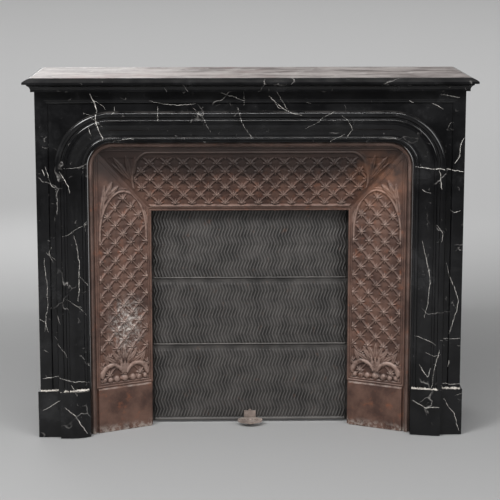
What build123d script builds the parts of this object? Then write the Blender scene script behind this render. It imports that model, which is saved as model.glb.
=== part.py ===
from build123d import *
import os
from math import hypot

# A moulded marble chimneypiece with a splayed cast iron insert and a rising iron shutter.
# X runs to the right, Y back to the wall and Z up, from the floor under the middle of the piece.

# Marble surround
surround_width = 1260.0
surround_height = 1045.0
shelf_width = 1320.0
shelf_depth = 390.0
shelf_thickness = 40.0
shelf_overhang = 50.0
opening_width = 964.0
opening_height = 892.0
corner_radius = 74.0
marble_depth = 75.0
return_thickness = 20.0

# Shelf edge, from the top down: sloped ovolo, nose, step, fillet, cove
ovolo_run = 22.0
ovolo_drop = 11.0
ovolo_bow = 1.6
nose_height = 6.0
nose_step = 12.0
shelf_fillet = 4.5
cove_run = 10.0
cove_height = 15.0
cove_bow = 3.0

# Bolection moulding, measured outwards from the edge of the opening and forwards from the flat band
edge_setback = 8.0
bead_start = 6.0
bead_width = 10.0
bead_rise = 4.5
face_width = 43.0
face_bow = 3.0
fillet_width = 6.0
fillet_level = 10.0
face_level = 7.0
hollow_width = 10.0
hollow_bow = 2.5
roll_width = 18.0
roll_rise = 16.0
ground_width = 17.0
ground_setback = 6.0
step_riser = 2.0
step_width = 12.0

# Plinth blocks
plinth_height = 142.0
plinth_side_margin = 7.0
plinth_front_margin = 3.0
plinth_step = 15.0
plinth_step_width = 88.0
plinth_inner_margin = 1.0
plinth_inner_setback = 1.0
left_plinth_flat = 43.0
right_plinth_flat = 2.0
left_plinth_bow = 3.5
right_plinth_bow = 1.0

# Iron that holds the marble together and to the wall
dowel_radius = 5.0
dowel_length = 60.0
dowel_gap = 0.2
dowel_place = 45.0
cramp_width = 12.0
cramp_thickness = 4.0
cramp_reach = 60.0
cramp_leg = 18.0
cramp_low = 260.0
cramp_high = 940.0
tie_leg = 70.0
tie_width = 30.0
tie_thickness = 4.0
tie_hole_radius = 4.5
tie_hole_inset = 20.0
tie_low = 250.0
tie_high = 900.0
tie_screw_radius = 3.0
tie_screw_length = 15.0
tie_screw_head_radius = 5.5
tie_screw_head = 2.5

# Cast iron insert: bead frame, sloping header, splayed cheeks, base plates
frame_clearance = 0.3
frame_width = 14.0
frame_setback = 27.0
frame_thickness = 8.0
frame_bead_radius = 5.0
splay_depth = 79.0
inner_opening_width = 600.0
inner_opening_height = 672.0
casting_thickness = 7.0
lip_thickness = 6.0
rim_width = 14.0
rim_height = 4.0
lattice_pitch = 50.0
lattice_rise = 54.0
lattice_rib = 6.0
lattice_height = 2.5
base_plate_height = 138.0
base_plate_thickness = 8.0
base_plate_end_gap = 6.0
base_plate_bevel = 5.0
insert_screw_radius = 2.2
insert_screw_grip = 5.0
insert_screw_head_radius = 4.2
insert_screw_head = 2.5
insert_screw_inset = 5.0
insert_screw_levels = (90.0, 400.0, 700.0)
insert_screw_columns = (-300.0, 0.0, 300.0)
mitre_overrun = 14.0

# Shutter: three pressed iron leaves that nest as they rise
leaf_width = 656.0
leaf_height = 247.0
top_leaf_height = 285.0
leaf_lap = 40.0
leaf_floor_gap = 5.0
leaf_sheet = 1.2
leaf_pitch = 8.0
leaf_back = -8.0
leaf_count = 3
hem_bottom = 10.0
hem_top = 5.0
plain_strip = 12.0
chevron_field_width = 588.0
chevron_columns = 50
chevron_run = 26.0
chevron_sway = 13.0
chevron_depth = 3.6

# Guide rails with one track for each leaf
rail_height = 1008.0
rail_web = 3.0
rail_fin = 2.5
rail_fin_depth = 15.0
rail_edge_gap = 3.0
rail_track = 5.5
rail_foot = 4.7
rail_cap = 5.0
rail_lug_width = 18.0
rail_lug_height = 24.0
rail_lug_thickness = 4.0
rail_lug_low = 110.0
rail_lug_high = 600.0
rail_screw_radius = 3.0
rail_screw_reach = 9.0
rail_screw_head_radius = 5.5
rail_screw_head = 3.0
stop_pin_radius = 2.0
stop_pin_head_radius = 4.0
stop_pin_head = 2.0
running_gap = 0.3
bore_gap = 0.2

# Head bar and pulleys
head_bar_length = 820.0
head_bar_depth = 52.0
head_bar_thickness = 6.0
head_bar_front = -40.0
head_bolt_radius = 3.0
head_bolt_head_radius = 6.0
head_bolt_head = 4.0
head_bolt_sides = 6
pulley_groove_radius = 38.0
pulley_rim_radius = 42.5
pulley_width = 9.0
pulley_hub_radius = 9.0
pulley_web = 5.0
pulley_spoke_holes = 5
pulley_hole_radius = 8.0
pulley_hole_circle = 22.0
axle_radius = 4.0
axle_head_radius = 7.0
axle_head = 3.0
pulley_drop = 53.0
fork_thickness = 3.0
fork_width = 24.0
fork_gap = 1.0
fork_boss = 14.0

# Counterweights and cables
cable_radius = 1.5
cable_inset = 19.0
cable_stand_off = 10.1
cable_lug_width = 11.0
cable_lug_height = 24.0
cable_lug_thickness = 3.0
cable_lug_shelf = 4.0
cable_lug_top = 244.0
cable_hole_gap = 0.3
ferrule_radius = 3.5
ferrule_height = 10.0
lug_rivet_radius = 2.0
lug_rivet_head_radius = 3.5
lug_rivet_head = 1.5
lug_rivet_drop = 14.88
weight_radius = 28.0
weight_length = 190.0
weight_top = 890.0
weight_chamfer = 4.0
eye_height = 20.0
eye_shank_radius = 3.5
eye_bore_radius = 3.5
eye_wire = 2.5

# Handle at the foot of the bottom leaf
handle_width = 76.0
handle_reach = 54.0
handle_thickness = 5.0
handle_level = 11.0
handle_eye_width = 13.0
handle_eye_depth = 9.0
handle_eye_spread = 19.0
handle_boss_radius = 8.0
handle_boss_height = 3.0
handle_lobe_radius = 9.0
handle_tab_width = 36.0
handle_tab_height = 26.0
handle_tab_thickness = 3.0
handle_tab_crown = 5.0
handle_rivet_radius = 2.5
handle_rivet_head_radius = 4.5
handle_rivet_head = 2.0
handle_rivet_spread = 22.0
handle_rivet_rise = 14.3
handle_boss_taper = 20.0

# Places that follow from the sizes above
wall_y = shelf_depth / 2
band_y = wall_y - shelf_depth + shelf_overhang
half_width = surround_width / 2
half_opening = opening_width / 2
total_height = surround_height + shelf_thickness
spring_z = opening_height - corner_radius
marble_back_y = band_y + marble_depth
shelf_side_overhang = (shelf_width - surround_width) / 2
bead_end = bead_start + bead_width
face_end = bead_end + face_width
fillet_end = face_end + fillet_width
hollow_end = fillet_end + hollow_width
roll_end = hollow_end + roll_width
ground_end = roll_end + ground_width
step_end = ground_end + step_width
band_end = half_width - half_opening
frame_gap = plinth_inner_margin + frame_clearance
frame_front_y = band_y + frame_setback
frame_back_y = frame_front_y + frame_thickness
frame_half = half_opening - frame_gap
frame_top = opening_height - frame_gap
cheek_front_x = frame_half - frame_width
header_front_z = frame_top - frame_width
inner_half = inner_opening_width / 2
splay_back_y = frame_back_y + splay_depth
cheek_run = hypot(cheek_front_x - inner_half, splay_depth)
header_run = hypot(header_front_z - inner_opening_height, splay_depth)
leaf_half = leaf_width / 2
rail_web_x = leaf_half + rail_edge_gap
rail_fin_x = rail_web_x - rail_fin_depth
track_front_y = leaf_back - leaf_sheet / 2 - rail_track / 2
rail_front_y = track_front_y - rail_fin
rail_back_y = track_front_y + 2 * leaf_pitch + rail_track + rail_fin
middle_leaf_z = leaf_floor_gap + leaf_height - leaf_lap
top_leaf_z = middle_leaf_z + leaf_height - leaf_lap
cable_x = leaf_half - cable_inset
cable_y = leaf_back - leaf_sheet - cable_stand_off
cable_radius_on_pulley = pulley_groove_radius + cable_radius + bore_gap
pulley_x = cable_x + cable_radius_on_pulley
pulley_z = rail_height - pulley_drop
weight_x = cable_x + 2 * cable_radius_on_pulley


def front_plane(y):
    """A plane that faces the room at depth y, with local x along X and local y along Z."""
    return Plane.XZ.offset(-y)


def bowed_line(place, start, end, bow):
    """Draws an arc from start to end whose middle stands out by bow from the straight line."""
    run_x = end[0] - start[0]
    run_y = end[1] - start[1]
    length = hypot(run_x, run_y)
    middle_x = (start[0] + end[0]) / 2 - bow * run_y / length
    middle_y = (start[1] + end[1]) / 2 + bow * run_x / length
    ThreePointArc(place(*start), place(middle_x, middle_y), place(*end))


def straight_lines(place, points):
    """Draws the straight lines that join the points in turn."""
    Polyline(*[place(*point) for point in points])


def moulding_face(place):
    """Draws the moulded face from the opening's edge to the outer side of the roll."""
    edge = (0, -edge_setback)
    bead_low = (bead_start, -edge_setback)
    bead_high = (bead_end, -edge_setback)
    face_middle = ((bead_end + face_end) / 2, (face_level - edge_setback) / 2)
    face_top = (face_end, face_level)
    fillet_low = (face_end, fillet_level)
    fillet_high = (fillet_end, fillet_level)
    roll_low = (hollow_end, fillet_level)
    roll_high = (roll_end, fillet_level)
    straight_lines(place, [edge, bead_low])
    bowed_line(place, bead_low, bead_high, bead_rise)
    bowed_line(place, bead_high, face_middle, -face_bow)
    bowed_line(place, face_middle, face_top, face_bow)
    straight_lines(place, [face_top, fillet_low, fillet_high])
    bowed_line(place, fillet_high, roll_low, -hollow_bow)
    bowed_line(place, roll_low, roll_high, roll_rise - fillet_level)
    straight_lines(place, [roll_high, (roll_end, -ground_setback)])


def step_face(place):
    """Draws the face from the recessed ground up the step and across the flat band."""
    ground = (ground_end, -ground_setback)
    riser = (ground_end, step_riser - ground_setback)
    arris = (step_end, 0)
    outer = (band_end, 0)
    straight_lines(place, [ground, riser])
    bowed_line(place, riser, arris, step_riser)
    straight_lines(place, [arris, outer])


def marble_place(side):
    """Maps distances outwards from the opening and forwards from the band to X and Y."""
    return lambda out, forward: (side * (half_opening + out), band_y - forward)


def arch_path(half, top, radius):
    """Draws the line over the opening, from springing to springing, round its two upper corners."""
    CenterArc((-half + radius, top - radius), radius, 180, -90)
    Line((-half + radius, top), (half - radius, top))
    CenterArc((half - radius, top - radius), radius, 90, -90)


def arch_sketch(half, top, radius, bottom):
    """Fills an arched outline from the level bottom to top."""
    with BuildLine() as outline:
        FilletPolyline((-half, bottom), (-half, top), (half, top), (half, bottom), radius=radius)
        Line((half, bottom), (-half, bottom))
    make_face(outline.edges())


def side_name(side):
    """The word for a side: 1 is right and -1 is left."""
    return "right" if side > 0 else "left"


def save(piece, label):
    """Names a finished piece and writes it out under that name."""
    piece.label = label
    export_step(piece, f"parts/{label}.step")


def shelf_edge(outer):
    """The shelf's edge profile as corner points, from its top down, outer being the nose."""
    top = total_height
    return {
        "top": (outer - ovolo_run, top),
        "nose_top": (outer, top - ovolo_drop),
        "nose_low": (outer, top - ovolo_drop - nose_height),
        "step": (outer - nose_step, top - ovolo_drop - nose_height),
        "fillet_low": (outer - nose_step, top - ovolo_drop - nose_height - shelf_fillet),
        "cove_low": (
            outer - nose_step - cove_run,
            top - ovolo_drop - nose_height - shelf_fillet - cove_height,
        ),
        "bottom": (outer - nose_step - cove_run, surround_height),
    }


def shelf_edge_lines(corner, place):
    """Draws one shelf edge from the top surface to the underside."""
    bowed_line(place, corner["top"], corner["nose_top"], ovolo_bow)
    straight_lines(place, [corner["nose_top"], corner["nose_low"], corner["step"], corner["fillet_low"]])
    bowed_line(place, corner["fillet_low"], corner["cove_low"], -cove_bow)
    straight_lines(place, [corner["cove_low"], corner["bottom"]])


def make_shelf():
    """Shelf slab with its moulded edge returned along the front and both ends."""
    front = shelf_edge(shelf_overhang)
    end = shelf_edge(shelf_side_overhang)
    with BuildPart() as shelf:
        with BuildSketch(Plane.YZ):
            with BuildLine():
                shelf_edge_lines(front, lambda out, z: (band_y - out, z))
                Polyline(
                    (band_y - front["bottom"][0], surround_height),
                    (wall_y, surround_height),
                    (wall_y, total_height),
                    (band_y - front["top"][0], total_height),
                )
            make_face()
        extrude(amount=shelf_width, both=True)
        with BuildSketch(Plane.XZ):
            with BuildLine():
                shelf_edge_lines(end, lambda out, z: (half_width + out, z))
                shelf_edge_lines(end, lambda out, z: (-half_width - out, z))
                Line(
                    (-half_width - end["top"][0], total_height),
                    (half_width + end["top"][0], total_height),
                )
                Line(
                    (-half_width - end["bottom"][0], surround_height),
                    (half_width + end["bottom"][0], surround_height),
                )
            make_face()
        extrude(amount=shelf_depth, both=True, mode=Mode.INTERSECT)
    save(shelf.part, "mantel_shelf")


def make_lintel():
    """Lintel whose moulding turns round the two upper corners of the opening."""
    place = marble_place(-1)
    back = -marble_depth
    with BuildPart() as lintel:
        with BuildSketch(front_plane(marble_back_y)):
            with Locations((0, (spring_z + surround_height) / 2)):
                Rectangle(surround_width, surround_height - spring_z)
            with BuildSketch(mode=Mode.PRIVATE) as under_roll:
                arch_sketch(
                    half_opening + hollow_end,
                    opening_height + hollow_end,
                    corner_radius + hollow_end,
                    spring_z - corner_radius,
                )
            add(under_roll.sketch, mode=Mode.SUBTRACT)
        extrude(amount=marble_depth - ground_setback)
        with BuildLine(front_plane(band_y)) as arch:
            arch_path(half_opening, opening_height, corner_radius)
        with BuildSketch(Plane.XY.offset(spring_z)):
            with BuildLine():
                moulding_face(place)
                straight_lines(
                    place,
                    [(roll_end, -ground_setback), (roll_end, back), (0, back), (0, -edge_setback)],
                )
            make_face()
        sweep(path=arch.line)
        with BuildLine(front_plane(band_y)) as outline:
            Polyline(
                (-half_width, spring_z),
                (-half_width, surround_height),
                (half_width, surround_height),
                (half_width, spring_z),
            )
        with BuildSketch(Plane.XY.offset(spring_z)):
            with BuildLine():
                step_face(place)
                straight_lines(
                    place,
                    [(band_end, 0), (band_end, back), (ground_end, back), (ground_end, -ground_setback)],
                )
            make_face()
        sweep(path=outline.line, transition=Transition.RIGHT)
        with BuildSketch(Plane.XY.offset(spring_z)):
            with Locations(*dowel_spots()):
                Circle(dowel_radius + dowel_gap)
        extrude(amount=dowel_length / 2, mode=Mode.SUBTRACT)
    save(lintel.part, "lintel")


def dowel_spots():
    """Plan positions of the two dowels between the jambs and the lintel."""
    x = half_opening + dowel_place
    y = (band_y + marble_back_y) / 2
    return [(-x, y), (x, y)]


def make_jamb(side):
    """Jamb: the full moulded section, standing on the plinth up to the springing."""
    place = marble_place(side)
    back = -marble_depth
    with BuildPart() as jamb:
        with BuildSketch(Plane.XY.offset(plinth_height)):
            with BuildLine():
                moulding_face(place)
                straight_lines(place, [(roll_end, -ground_setback), (ground_end, -ground_setback)])
                step_face(place)
                straight_lines(
                    place, [(band_end, 0), (band_end, back), (0, back), (0, -edge_setback)]
                )
            make_face()
        extrude(amount=spring_z - plinth_height)
        with BuildSketch(Plane.XY.offset(spring_z)):
            with Locations(*dowel_spots()):
                Circle(dowel_radius + dowel_gap)
        extrude(amount=-dowel_length / 2, mode=Mode.SUBTRACT)
    save(jamb.part, f"{side_name(side)}_jamb")


def make_plinth(side, flat, bow):
    """Plinth block, stepped forward under the moulding and eased back at its inner end."""
    place = marble_place(side)
    inner = (-plinth_inner_margin, plinth_inner_setback)
    front = plinth_front_margin + plinth_step
    flat_start = (plinth_step_width - flat, front)
    back = -marble_depth
    outer = band_end + plinth_side_margin
    with BuildPart() as plinth:
        with BuildSketch():
            with BuildLine():
                bowed_line(place, inner, flat_start, bow)
                straight_lines(
                    place,
                    [
                        flat_start,
                        (plinth_step_width, front),
                        (plinth_step_width, plinth_front_margin),
                        (outer, plinth_front_margin),
                        (outer, back),
                        (-plinth_inner_margin, back),
                        inner,
                    ],
                )
            make_face()
        extrude(amount=plinth_height)
    save(plinth.part, f"{side_name(side)}_plinth")


def make_return(side):
    """Thin slab that closes the side between the jamb and the wall, above its plinth."""
    with BuildPart() as slab:
        with BuildSketch(Plane.XY.offset(plinth_height)):
            with Locations(
                (side * (half_width - return_thickness / 2), (marble_back_y + wall_y) / 2)
            ):
                Rectangle(return_thickness, wall_y - marble_back_y)
        extrude(amount=surround_height - plinth_height)
        with BuildSketch(Plane.YZ.offset(side * (half_width - return_thickness))):
            for level in (tie_low, tie_high):
                with Locations((wall_y - tie_leg + tie_hole_inset, level)):
                    Circle(tie_screw_radius + bore_gap)
        extrude(amount=side * tie_screw_length, mode=Mode.SUBTRACT)
    save(slab.part, f"{side_name(side)}_return")


def make_return_plinth(side):
    """Plinth under the side slab, standing out as far as the plinth block beside it."""
    with BuildPart() as slab:
        with BuildSketch():
            with Locations(
                (
                    side * (half_width + plinth_side_margin - return_thickness / 2),
                    (marble_back_y + wall_y) / 2,
                )
            ):
                Rectangle(return_thickness, wall_y - marble_back_y)
        extrude(amount=plinth_height)
    save(slab.part, f"{side_name(side)}_return_plinth")


def make_dowels():
    """Iron dowels that locate the lintel on the jambs."""
    with BuildPart() as dowels:
        with BuildSketch(Plane.XY.offset(spring_z - dowel_length / 2 + dowel_gap)):
            with Locations(*dowel_spots()):
                Circle(dowel_radius)
        extrude(amount=dowel_length - 2 * dowel_gap)
    save(dowels.part, "lintel_dowels")


def make_cramps():
    """Flat iron angles that tie each side slab to the back of the jamb and of the lintel."""
    inner_x = half_width - return_thickness
    with BuildPart() as cramps:
        for side in (-1, 1):
            for level in (cramp_low, cramp_high):
                with BuildSketch(Plane.XY.offset(level)):
                    with BuildLine():
                        Polyline(
                            (side * inner_x, marble_back_y),
                            (side * inner_x, marble_back_y + cramp_reach),
                            (side * (inner_x - cramp_thickness), marble_back_y + cramp_reach),
                            (side * (inner_x - cramp_thickness), marble_back_y + cramp_thickness),
                            (side * (inner_x - cramp_leg), marble_back_y + cramp_thickness),
                            (side * (inner_x - cramp_leg), marble_back_y),
                            close=True,
                        )
                    make_face()
                extrude(amount=cramp_width)
    save(cramps.part, "marble_cramps")


def make_wall_ties():
    """Iron angles at the back of the side slabs, each with a hole for a wall screw."""
    inner_x = half_width - return_thickness
    with BuildPart() as ties:
        for side in (-1, 1):
            for level in (tie_low, tie_high):
                with BuildSketch(Plane.XY.offset(level - tie_width / 2)):
                    with BuildLine():
                        Polyline(
                            (side * inner_x, wall_y),
                            (side * (inner_x - tie_leg), wall_y),
                            (side * (inner_x - tie_leg), wall_y - tie_thickness),
                            (side * (inner_x - tie_thickness), wall_y - tie_thickness),
                            (side * (inner_x - tie_thickness), wall_y - tie_leg),
                            (side * inner_x, wall_y - tie_leg),
                            close=True,
                        )
                    make_face()
                extrude(amount=tie_width)
                with BuildSketch(front_plane(wall_y)):
                    with Locations((side * (inner_x - tie_leg + tie_hole_inset), level)):
                        Circle(tie_hole_radius)
                extrude(amount=tie_thickness, mode=Mode.SUBTRACT)
                with BuildSketch(Plane.YZ.offset(side * inner_x)):
                    with Locations((wall_y - tie_leg + tie_hole_inset, level)):
                        Circle(tie_screw_radius + bore_gap)
                extrude(amount=-side * tie_thickness, mode=Mode.SUBTRACT)
    save(ties.part, "wall_ties")


def make_tie_screws():
    """Screws that hold the wall ties to the side slabs."""
    inner_x = half_width - return_thickness
    head_x = inner_x - tie_thickness
    with BuildPart() as screws:
        for side in (-1, 1):
            for level in (tie_low, tie_high):
                with BuildSketch(Plane.YZ.offset(side * head_x)):
                    with Locations((wall_y - tie_leg + tie_hole_inset, level)):
                        Circle(tie_screw_radius)
                extrude(amount=side * (tie_thickness + tie_screw_length - bore_gap))
                with BuildSketch(Plane.YZ.offset(side * head_x)):
                    with Locations((wall_y - tie_leg + tie_hole_inset, level)):
                        Circle(tie_screw_head_radius)
                extrude(amount=-side * tie_screw_head)
    save(screws.part, "tie_screws")


def cheek_plane(side, forward):
    """A plane on a cheek's visible face, moved forward into the niche. Local x is 0 at the front edge."""
    run_x = (cheek_front_x - inner_half) / cheek_run
    run_y = splay_depth / cheek_run
    origin = (side * (cheek_front_x - forward * run_y), frame_back_y - forward * run_x, 0)
    return Plane(
        origin=origin,
        x_dir=(run_x, -side * run_y, 0),
        z_dir=(-side * run_y, -run_x, 0),
    )


def header_plane(forward):
    """A plane on the header's visible face. Local y is 0 at the front edge and falls down the slope."""
    drop = (header_front_z - inner_opening_height) / header_run
    run = splay_depth / header_run
    return Plane(
        origin=(0, frame_back_y - forward * drop, header_front_z - forward * run),
        x_dir=(1, 0, 0),
        z_dir=(0, -drop, -run),
    )


def cheek_top(along):
    """Height of the mitre between cheek and header, at a distance along the cheek."""
    return header_front_z - (header_front_z - inner_opening_height) * along / cheek_run


def cheek_outline(side, bottom, overrun=0):
    """Fills the cheek's outline from the level bottom up to the mitre, and past it by overrun."""
    with BuildLine() as outline:
        Polyline(
            (0, bottom),
            (-side * cheek_run, bottom),
            (-side * cheek_run, cheek_top(cheek_run) + overrun),
            (0, cheek_top(0) + overrun),
            close=True,
        )
    make_face(outline.edges())


def header_outline(overrun=0):
    """Fills the header's trapezium between the two mitres, and past them by overrun."""
    with BuildLine() as outline:
        Polyline(
            (-cheek_front_x - overrun, 0),
            (cheek_front_x + overrun, 0),
            (inner_half + overrun, -header_run),
            (-inner_half - overrun, -header_run),
            close=True,
        )
    make_face(outline.edges())


def mitre_plane(side):
    """The plane that halves the corner between header and cheek. It faces the cheek."""
    across = Vector(*cheek_plane(side, 0).z_dir) - Vector(*header_plane(0).z_dir)
    corner = (side * cheek_front_x, frame_back_y, header_front_z)
    return Plane(origin=corner, z_dir=-across)


def trim_to_opening():
    """Cuts a casting back to the rounded corners of the frame, and of the marble behind it."""
    radius = corner_radius - frame_gap
    cuts = (
        (marble_back_y, frame_back_y, frame_half, frame_top, radius),
        (frame_back_y, frame_front_y, cheek_front_x, header_front_z, radius - frame_width),
    )
    for back, front, half, top, corner in cuts:
        with BuildSketch(front_plane(back)) as outside:
            with Locations((0, total_height / 2)):
                Rectangle(surround_width, total_height)
            with BuildSketch(mode=Mode.PRIVATE) as inside:
                arch_sketch(half, top, corner, 0)
            add(inside.sketch, mode=Mode.SUBTRACT)
        extrude(outside.sketch, amount=back - front, mode=Mode.SUBTRACT)


def cut_lattice(center_x, center_y, columns, rows):
    """Cuts diamonds out of the current sketch, and leaves the trellis ribs between them."""
    width = lattice_pitch - lattice_rib
    height = lattice_rise - lattice_rib
    middles = []
    for row in range(-rows, rows + 1):
        shift = lattice_pitch / 2 if row % 2 else 0
        for column in range(-columns, columns + 1):
            middles.append(
                (center_x + column * lattice_pitch + shift, center_y + row * lattice_rise / 2)
            )
    with Locations(*middles):
        Polygon(
            (-width / 2, 0),
            (0, -height / 2),
            (width / 2, 0),
            (0, height / 2),
            mode=Mode.SUBTRACT,
        )


def lip_screw_spots():
    """Places of the screws through the insert's lips, as X and Z."""
    side_x = frame_half - insert_screw_inset
    top_z = frame_top - insert_screw_inset
    spots = [(side * side_x, z) for side in (-1, 1) for z in insert_screw_levels]
    spots += [(x, top_z) for x in insert_screw_columns]
    return spots


def drill_lips():
    """Drills the lips for the screws that hold them to the frame."""
    with BuildSketch(front_plane(frame_back_y + lip_thickness)) as holes:
        with Locations(*lip_screw_spots()):
            Circle(insert_screw_radius + bore_gap)
    extrude(holes.sketch, amount=lip_thickness, mode=Mode.SUBTRACT)


def make_header():
    """Sloping header: plate, raised rim and trellis, with a lip behind the bead frame."""
    with BuildPart() as header:
        with BuildSketch(header_plane(0)):
            header_outline(mitre_overrun)
        extrude(amount=-casting_thickness)
        with BuildSketch(header_plane(0)):
            header_outline()
            offset(amount=-rim_width, kind=Kind.INTERSECTION, mode=Mode.SUBTRACT)
        extrude(amount=rim_height)
        with BuildSketch(header_plane(0)):
            header_outline()
            cut_lattice(
                0,
                -header_run / 2,
                round(cheek_front_x / lattice_pitch),
                round(header_run / lattice_rise),
            )
        extrude(amount=lattice_height)
        split(bisect_by=mitre_plane(1), keep=Keep.BOTTOM)
        split(bisect_by=mitre_plane(-1), keep=Keep.BOTTOM)
        with BuildSketch(front_plane(frame_back_y + lip_thickness)):
            with Locations((0, (header_front_z + frame_top) / 2)):
                Rectangle(2 * cheek_front_x, frame_top - header_front_z)
        extrude(amount=lip_thickness)
        trim_to_opening()
        drill_lips()
    save(header.part, "insert_header")


def make_cheek(side):
    """Splayed cheek: plate, rim and trellis, with a lip behind the frame and two lugs at its back."""
    field_middle = (base_plate_height + cheek_top(cheek_run / 2)) / 2
    lug_x = rail_web_x + rail_web + rail_lug_width / 2
    lug_reach = rail_front_y - splay_back_y + rail_lug_width
    with BuildPart() as cheek:
        for level in (rail_lug_low, rail_lug_high):
            with BuildSketch(front_plane(rail_front_y)):
                with Locations((side * lug_x, level)):
                    Rectangle(rail_lug_width, rail_lug_height)
            extrude(amount=lug_reach)
            with BuildSketch(front_plane(rail_front_y)):
                with Locations((side * lug_x, level)):
                    Circle(rail_screw_radius + bore_gap)
            extrude(amount=rail_screw_reach + bore_gap, mode=Mode.SUBTRACT)
        with BuildSketch(cheek_plane(side, 0)):
            with Locations((-side * cheek_run / 2, total_height / 2)):
                Rectangle(cheek_run, total_height)
        extrude(amount=marble_depth, mode=Mode.SUBTRACT)
        with BuildSketch(cheek_plane(side, 0)):
            cheek_outline(side, 0, mitre_overrun)
        extrude(amount=-casting_thickness)
        with BuildSketch(cheek_plane(side, 0)):
            cheek_outline(side, base_plate_height)
            offset(amount=-rim_width, kind=Kind.INTERSECTION, mode=Mode.SUBTRACT)
        extrude(amount=rim_height)
        with BuildSketch(cheek_plane(side, 0)):
            cheek_outline(side, base_plate_height)
            cut_lattice(
                -side * cheek_run / 2,
                field_middle,
                round(cheek_run / 2 / lattice_pitch),
                round((header_front_z - base_plate_height) / lattice_rise),
            )
        extrude(amount=lattice_height)
        split(bisect_by=mitre_plane(side), keep=Keep.TOP)
        with BuildSketch(front_plane(frame_back_y + lip_thickness)):
            with Locations((side * (cheek_front_x + frame_half) / 2, header_front_z / 2)):
                Rectangle(frame_half - cheek_front_x, header_front_z)
        extrude(amount=lip_thickness)
        trim_to_opening()
        drill_lips()
    save(cheek.part, f"{side_name(side)}_cheek")


def make_base_plate(side):
    """Plain plate on the foot of a cheek, with a bevelled top ledge."""
    start = cheek_plane(side, 0).from_local_coords((-side * base_plate_end_gap, 0))
    along = cheek_plane(side, 0).x_dir * -side
    section = Plane(origin=start, x_dir=cheek_plane(side, 0).z_dir, z_dir=along)
    bevel_start = base_plate_height - base_plate_bevel
    with BuildPart() as plate:
        with BuildSketch(section):
            with BuildLine():
                Polyline(
                    (0, 0),
                    (base_plate_thickness, 0),
                    (base_plate_thickness, side * bevel_start),
                    (base_plate_thickness - base_plate_bevel, side * base_plate_height),
                    (0, side * base_plate_height),
                    close=True,
                )
            make_face()
        extrude(amount=cheek_run - 2 * base_plate_end_gap, dir=along)
    save(plate.part, f"{side_name(side)}_base_plate")


def make_insert_frame():
    """Frame round the insert: a flat strip with a half-round bead along it."""
    radius = corner_radius - frame_gap
    middle = frame_width / 2
    with BuildPart() as frame:
        with BuildSketch(front_plane(frame_back_y)):
            with BuildSketch(mode=Mode.PRIVATE) as inside:
                arch_sketch(cheek_front_x, header_front_z, radius - frame_width, 0)
            arch_sketch(frame_half, frame_top, radius, 0)
            add(inside.sketch, mode=Mode.SUBTRACT)
        extrude(amount=frame_thickness)
        with BuildLine(front_plane(frame_front_y)) as path:
            FilletPolyline(
                (-frame_half + middle, 0),
                (-frame_half + middle, frame_top - middle),
                (frame_half - middle, frame_top - middle),
                (frame_half - middle, 0),
                radius=radius - middle,
            )
        with BuildSketch():
            with Locations((-frame_half + middle, frame_front_y)):
                Circle(frame_bead_radius)
        sweep(path=path.line)
        with BuildSketch(front_plane(frame_back_y)):
            with Locations(*lip_screw_spots()):
                Circle(insert_screw_radius + bore_gap)
        extrude(amount=insert_screw_grip, mode=Mode.SUBTRACT)
    save(frame.part, "insert_frame")


def make_insert_screws():
    """Screws from behind through the lips into the bead frame."""
    with BuildPart() as screws:
        with BuildSketch(front_plane(frame_back_y + lip_thickness)):
            with Locations(*lip_screw_spots()):
                Circle(insert_screw_radius)
        extrude(amount=lip_thickness + insert_screw_grip - bore_gap)
        with BuildSketch(front_plane(frame_back_y + lip_thickness)):
            with Locations(*lip_screw_spots()):
                Circle(insert_screw_head_radius)
        extrude(amount=-insert_screw_head)
    save(screws.part, "insert_screws")


def make_leaf(label, bottom, height, order):
    """One shutter leaf: a sheet with pressed chevrons, hems above and below and plain borders."""
    back = leaf_back + order * leaf_pitch
    front = back - leaf_sheet
    field_bottom = bottom + hem_bottom
    field_top = bottom + height - hem_top - plain_strip
    rows = round((field_top - field_bottom) / chevron_run)
    row_height = (field_top - field_bottom) / rows
    column_width = chevron_field_width / chevron_columns
    left = -(chevron_field_width + chevron_sway) / 2
    inside = front + leaf_sheet / 2
    ridges = [(left, front)]
    for column in range(chevron_columns):
        start = left + column * column_width
        ridges.append((start + column_width / 2, front - chevron_depth))
        ridges.append((start + column_width, front))
    ridges += [(left + chevron_field_width, inside), (left, inside)]
    with BuildPart() as leaf:
        with BuildSketch(Plane.XY.offset(bottom)):
            with Locations((0, back - leaf_sheet / 2)):
                Rectangle(leaf_width, leaf_sheet)
        extrude(amount=height)
        for level, thickness in ((bottom, hem_bottom), (bottom + height - hem_top, hem_top)):
            with BuildSketch(Plane.XY.offset(level)):
                with Locations((0, front - chevron_depth / 2)):
                    Rectangle(chevron_field_width + chevron_sway, chevron_depth)
            extrude(amount=thickness)
        pressed_rows = []
        for row in range(rows):
            shift = chevron_sway if row % 2 else 0
            lean = -chevron_sway if row % 2 else chevron_sway
            with BuildSketch(
                Plane.XY.offset(field_bottom + row * row_height), mode=Mode.PRIVATE
            ) as section:
                with Locations((shift, 0)):
                    Polygon(*ridges, align=None)
            pressed_rows.append(
                extrude(
                    section.sketch,
                    amount=hypot(row_height, chevron_sway),
                    dir=(lean, 0, row_height),
                    mode=Mode.PRIVATE,
                )
            )
        add(pressed_rows)
    save(leaf.part, label)


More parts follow.
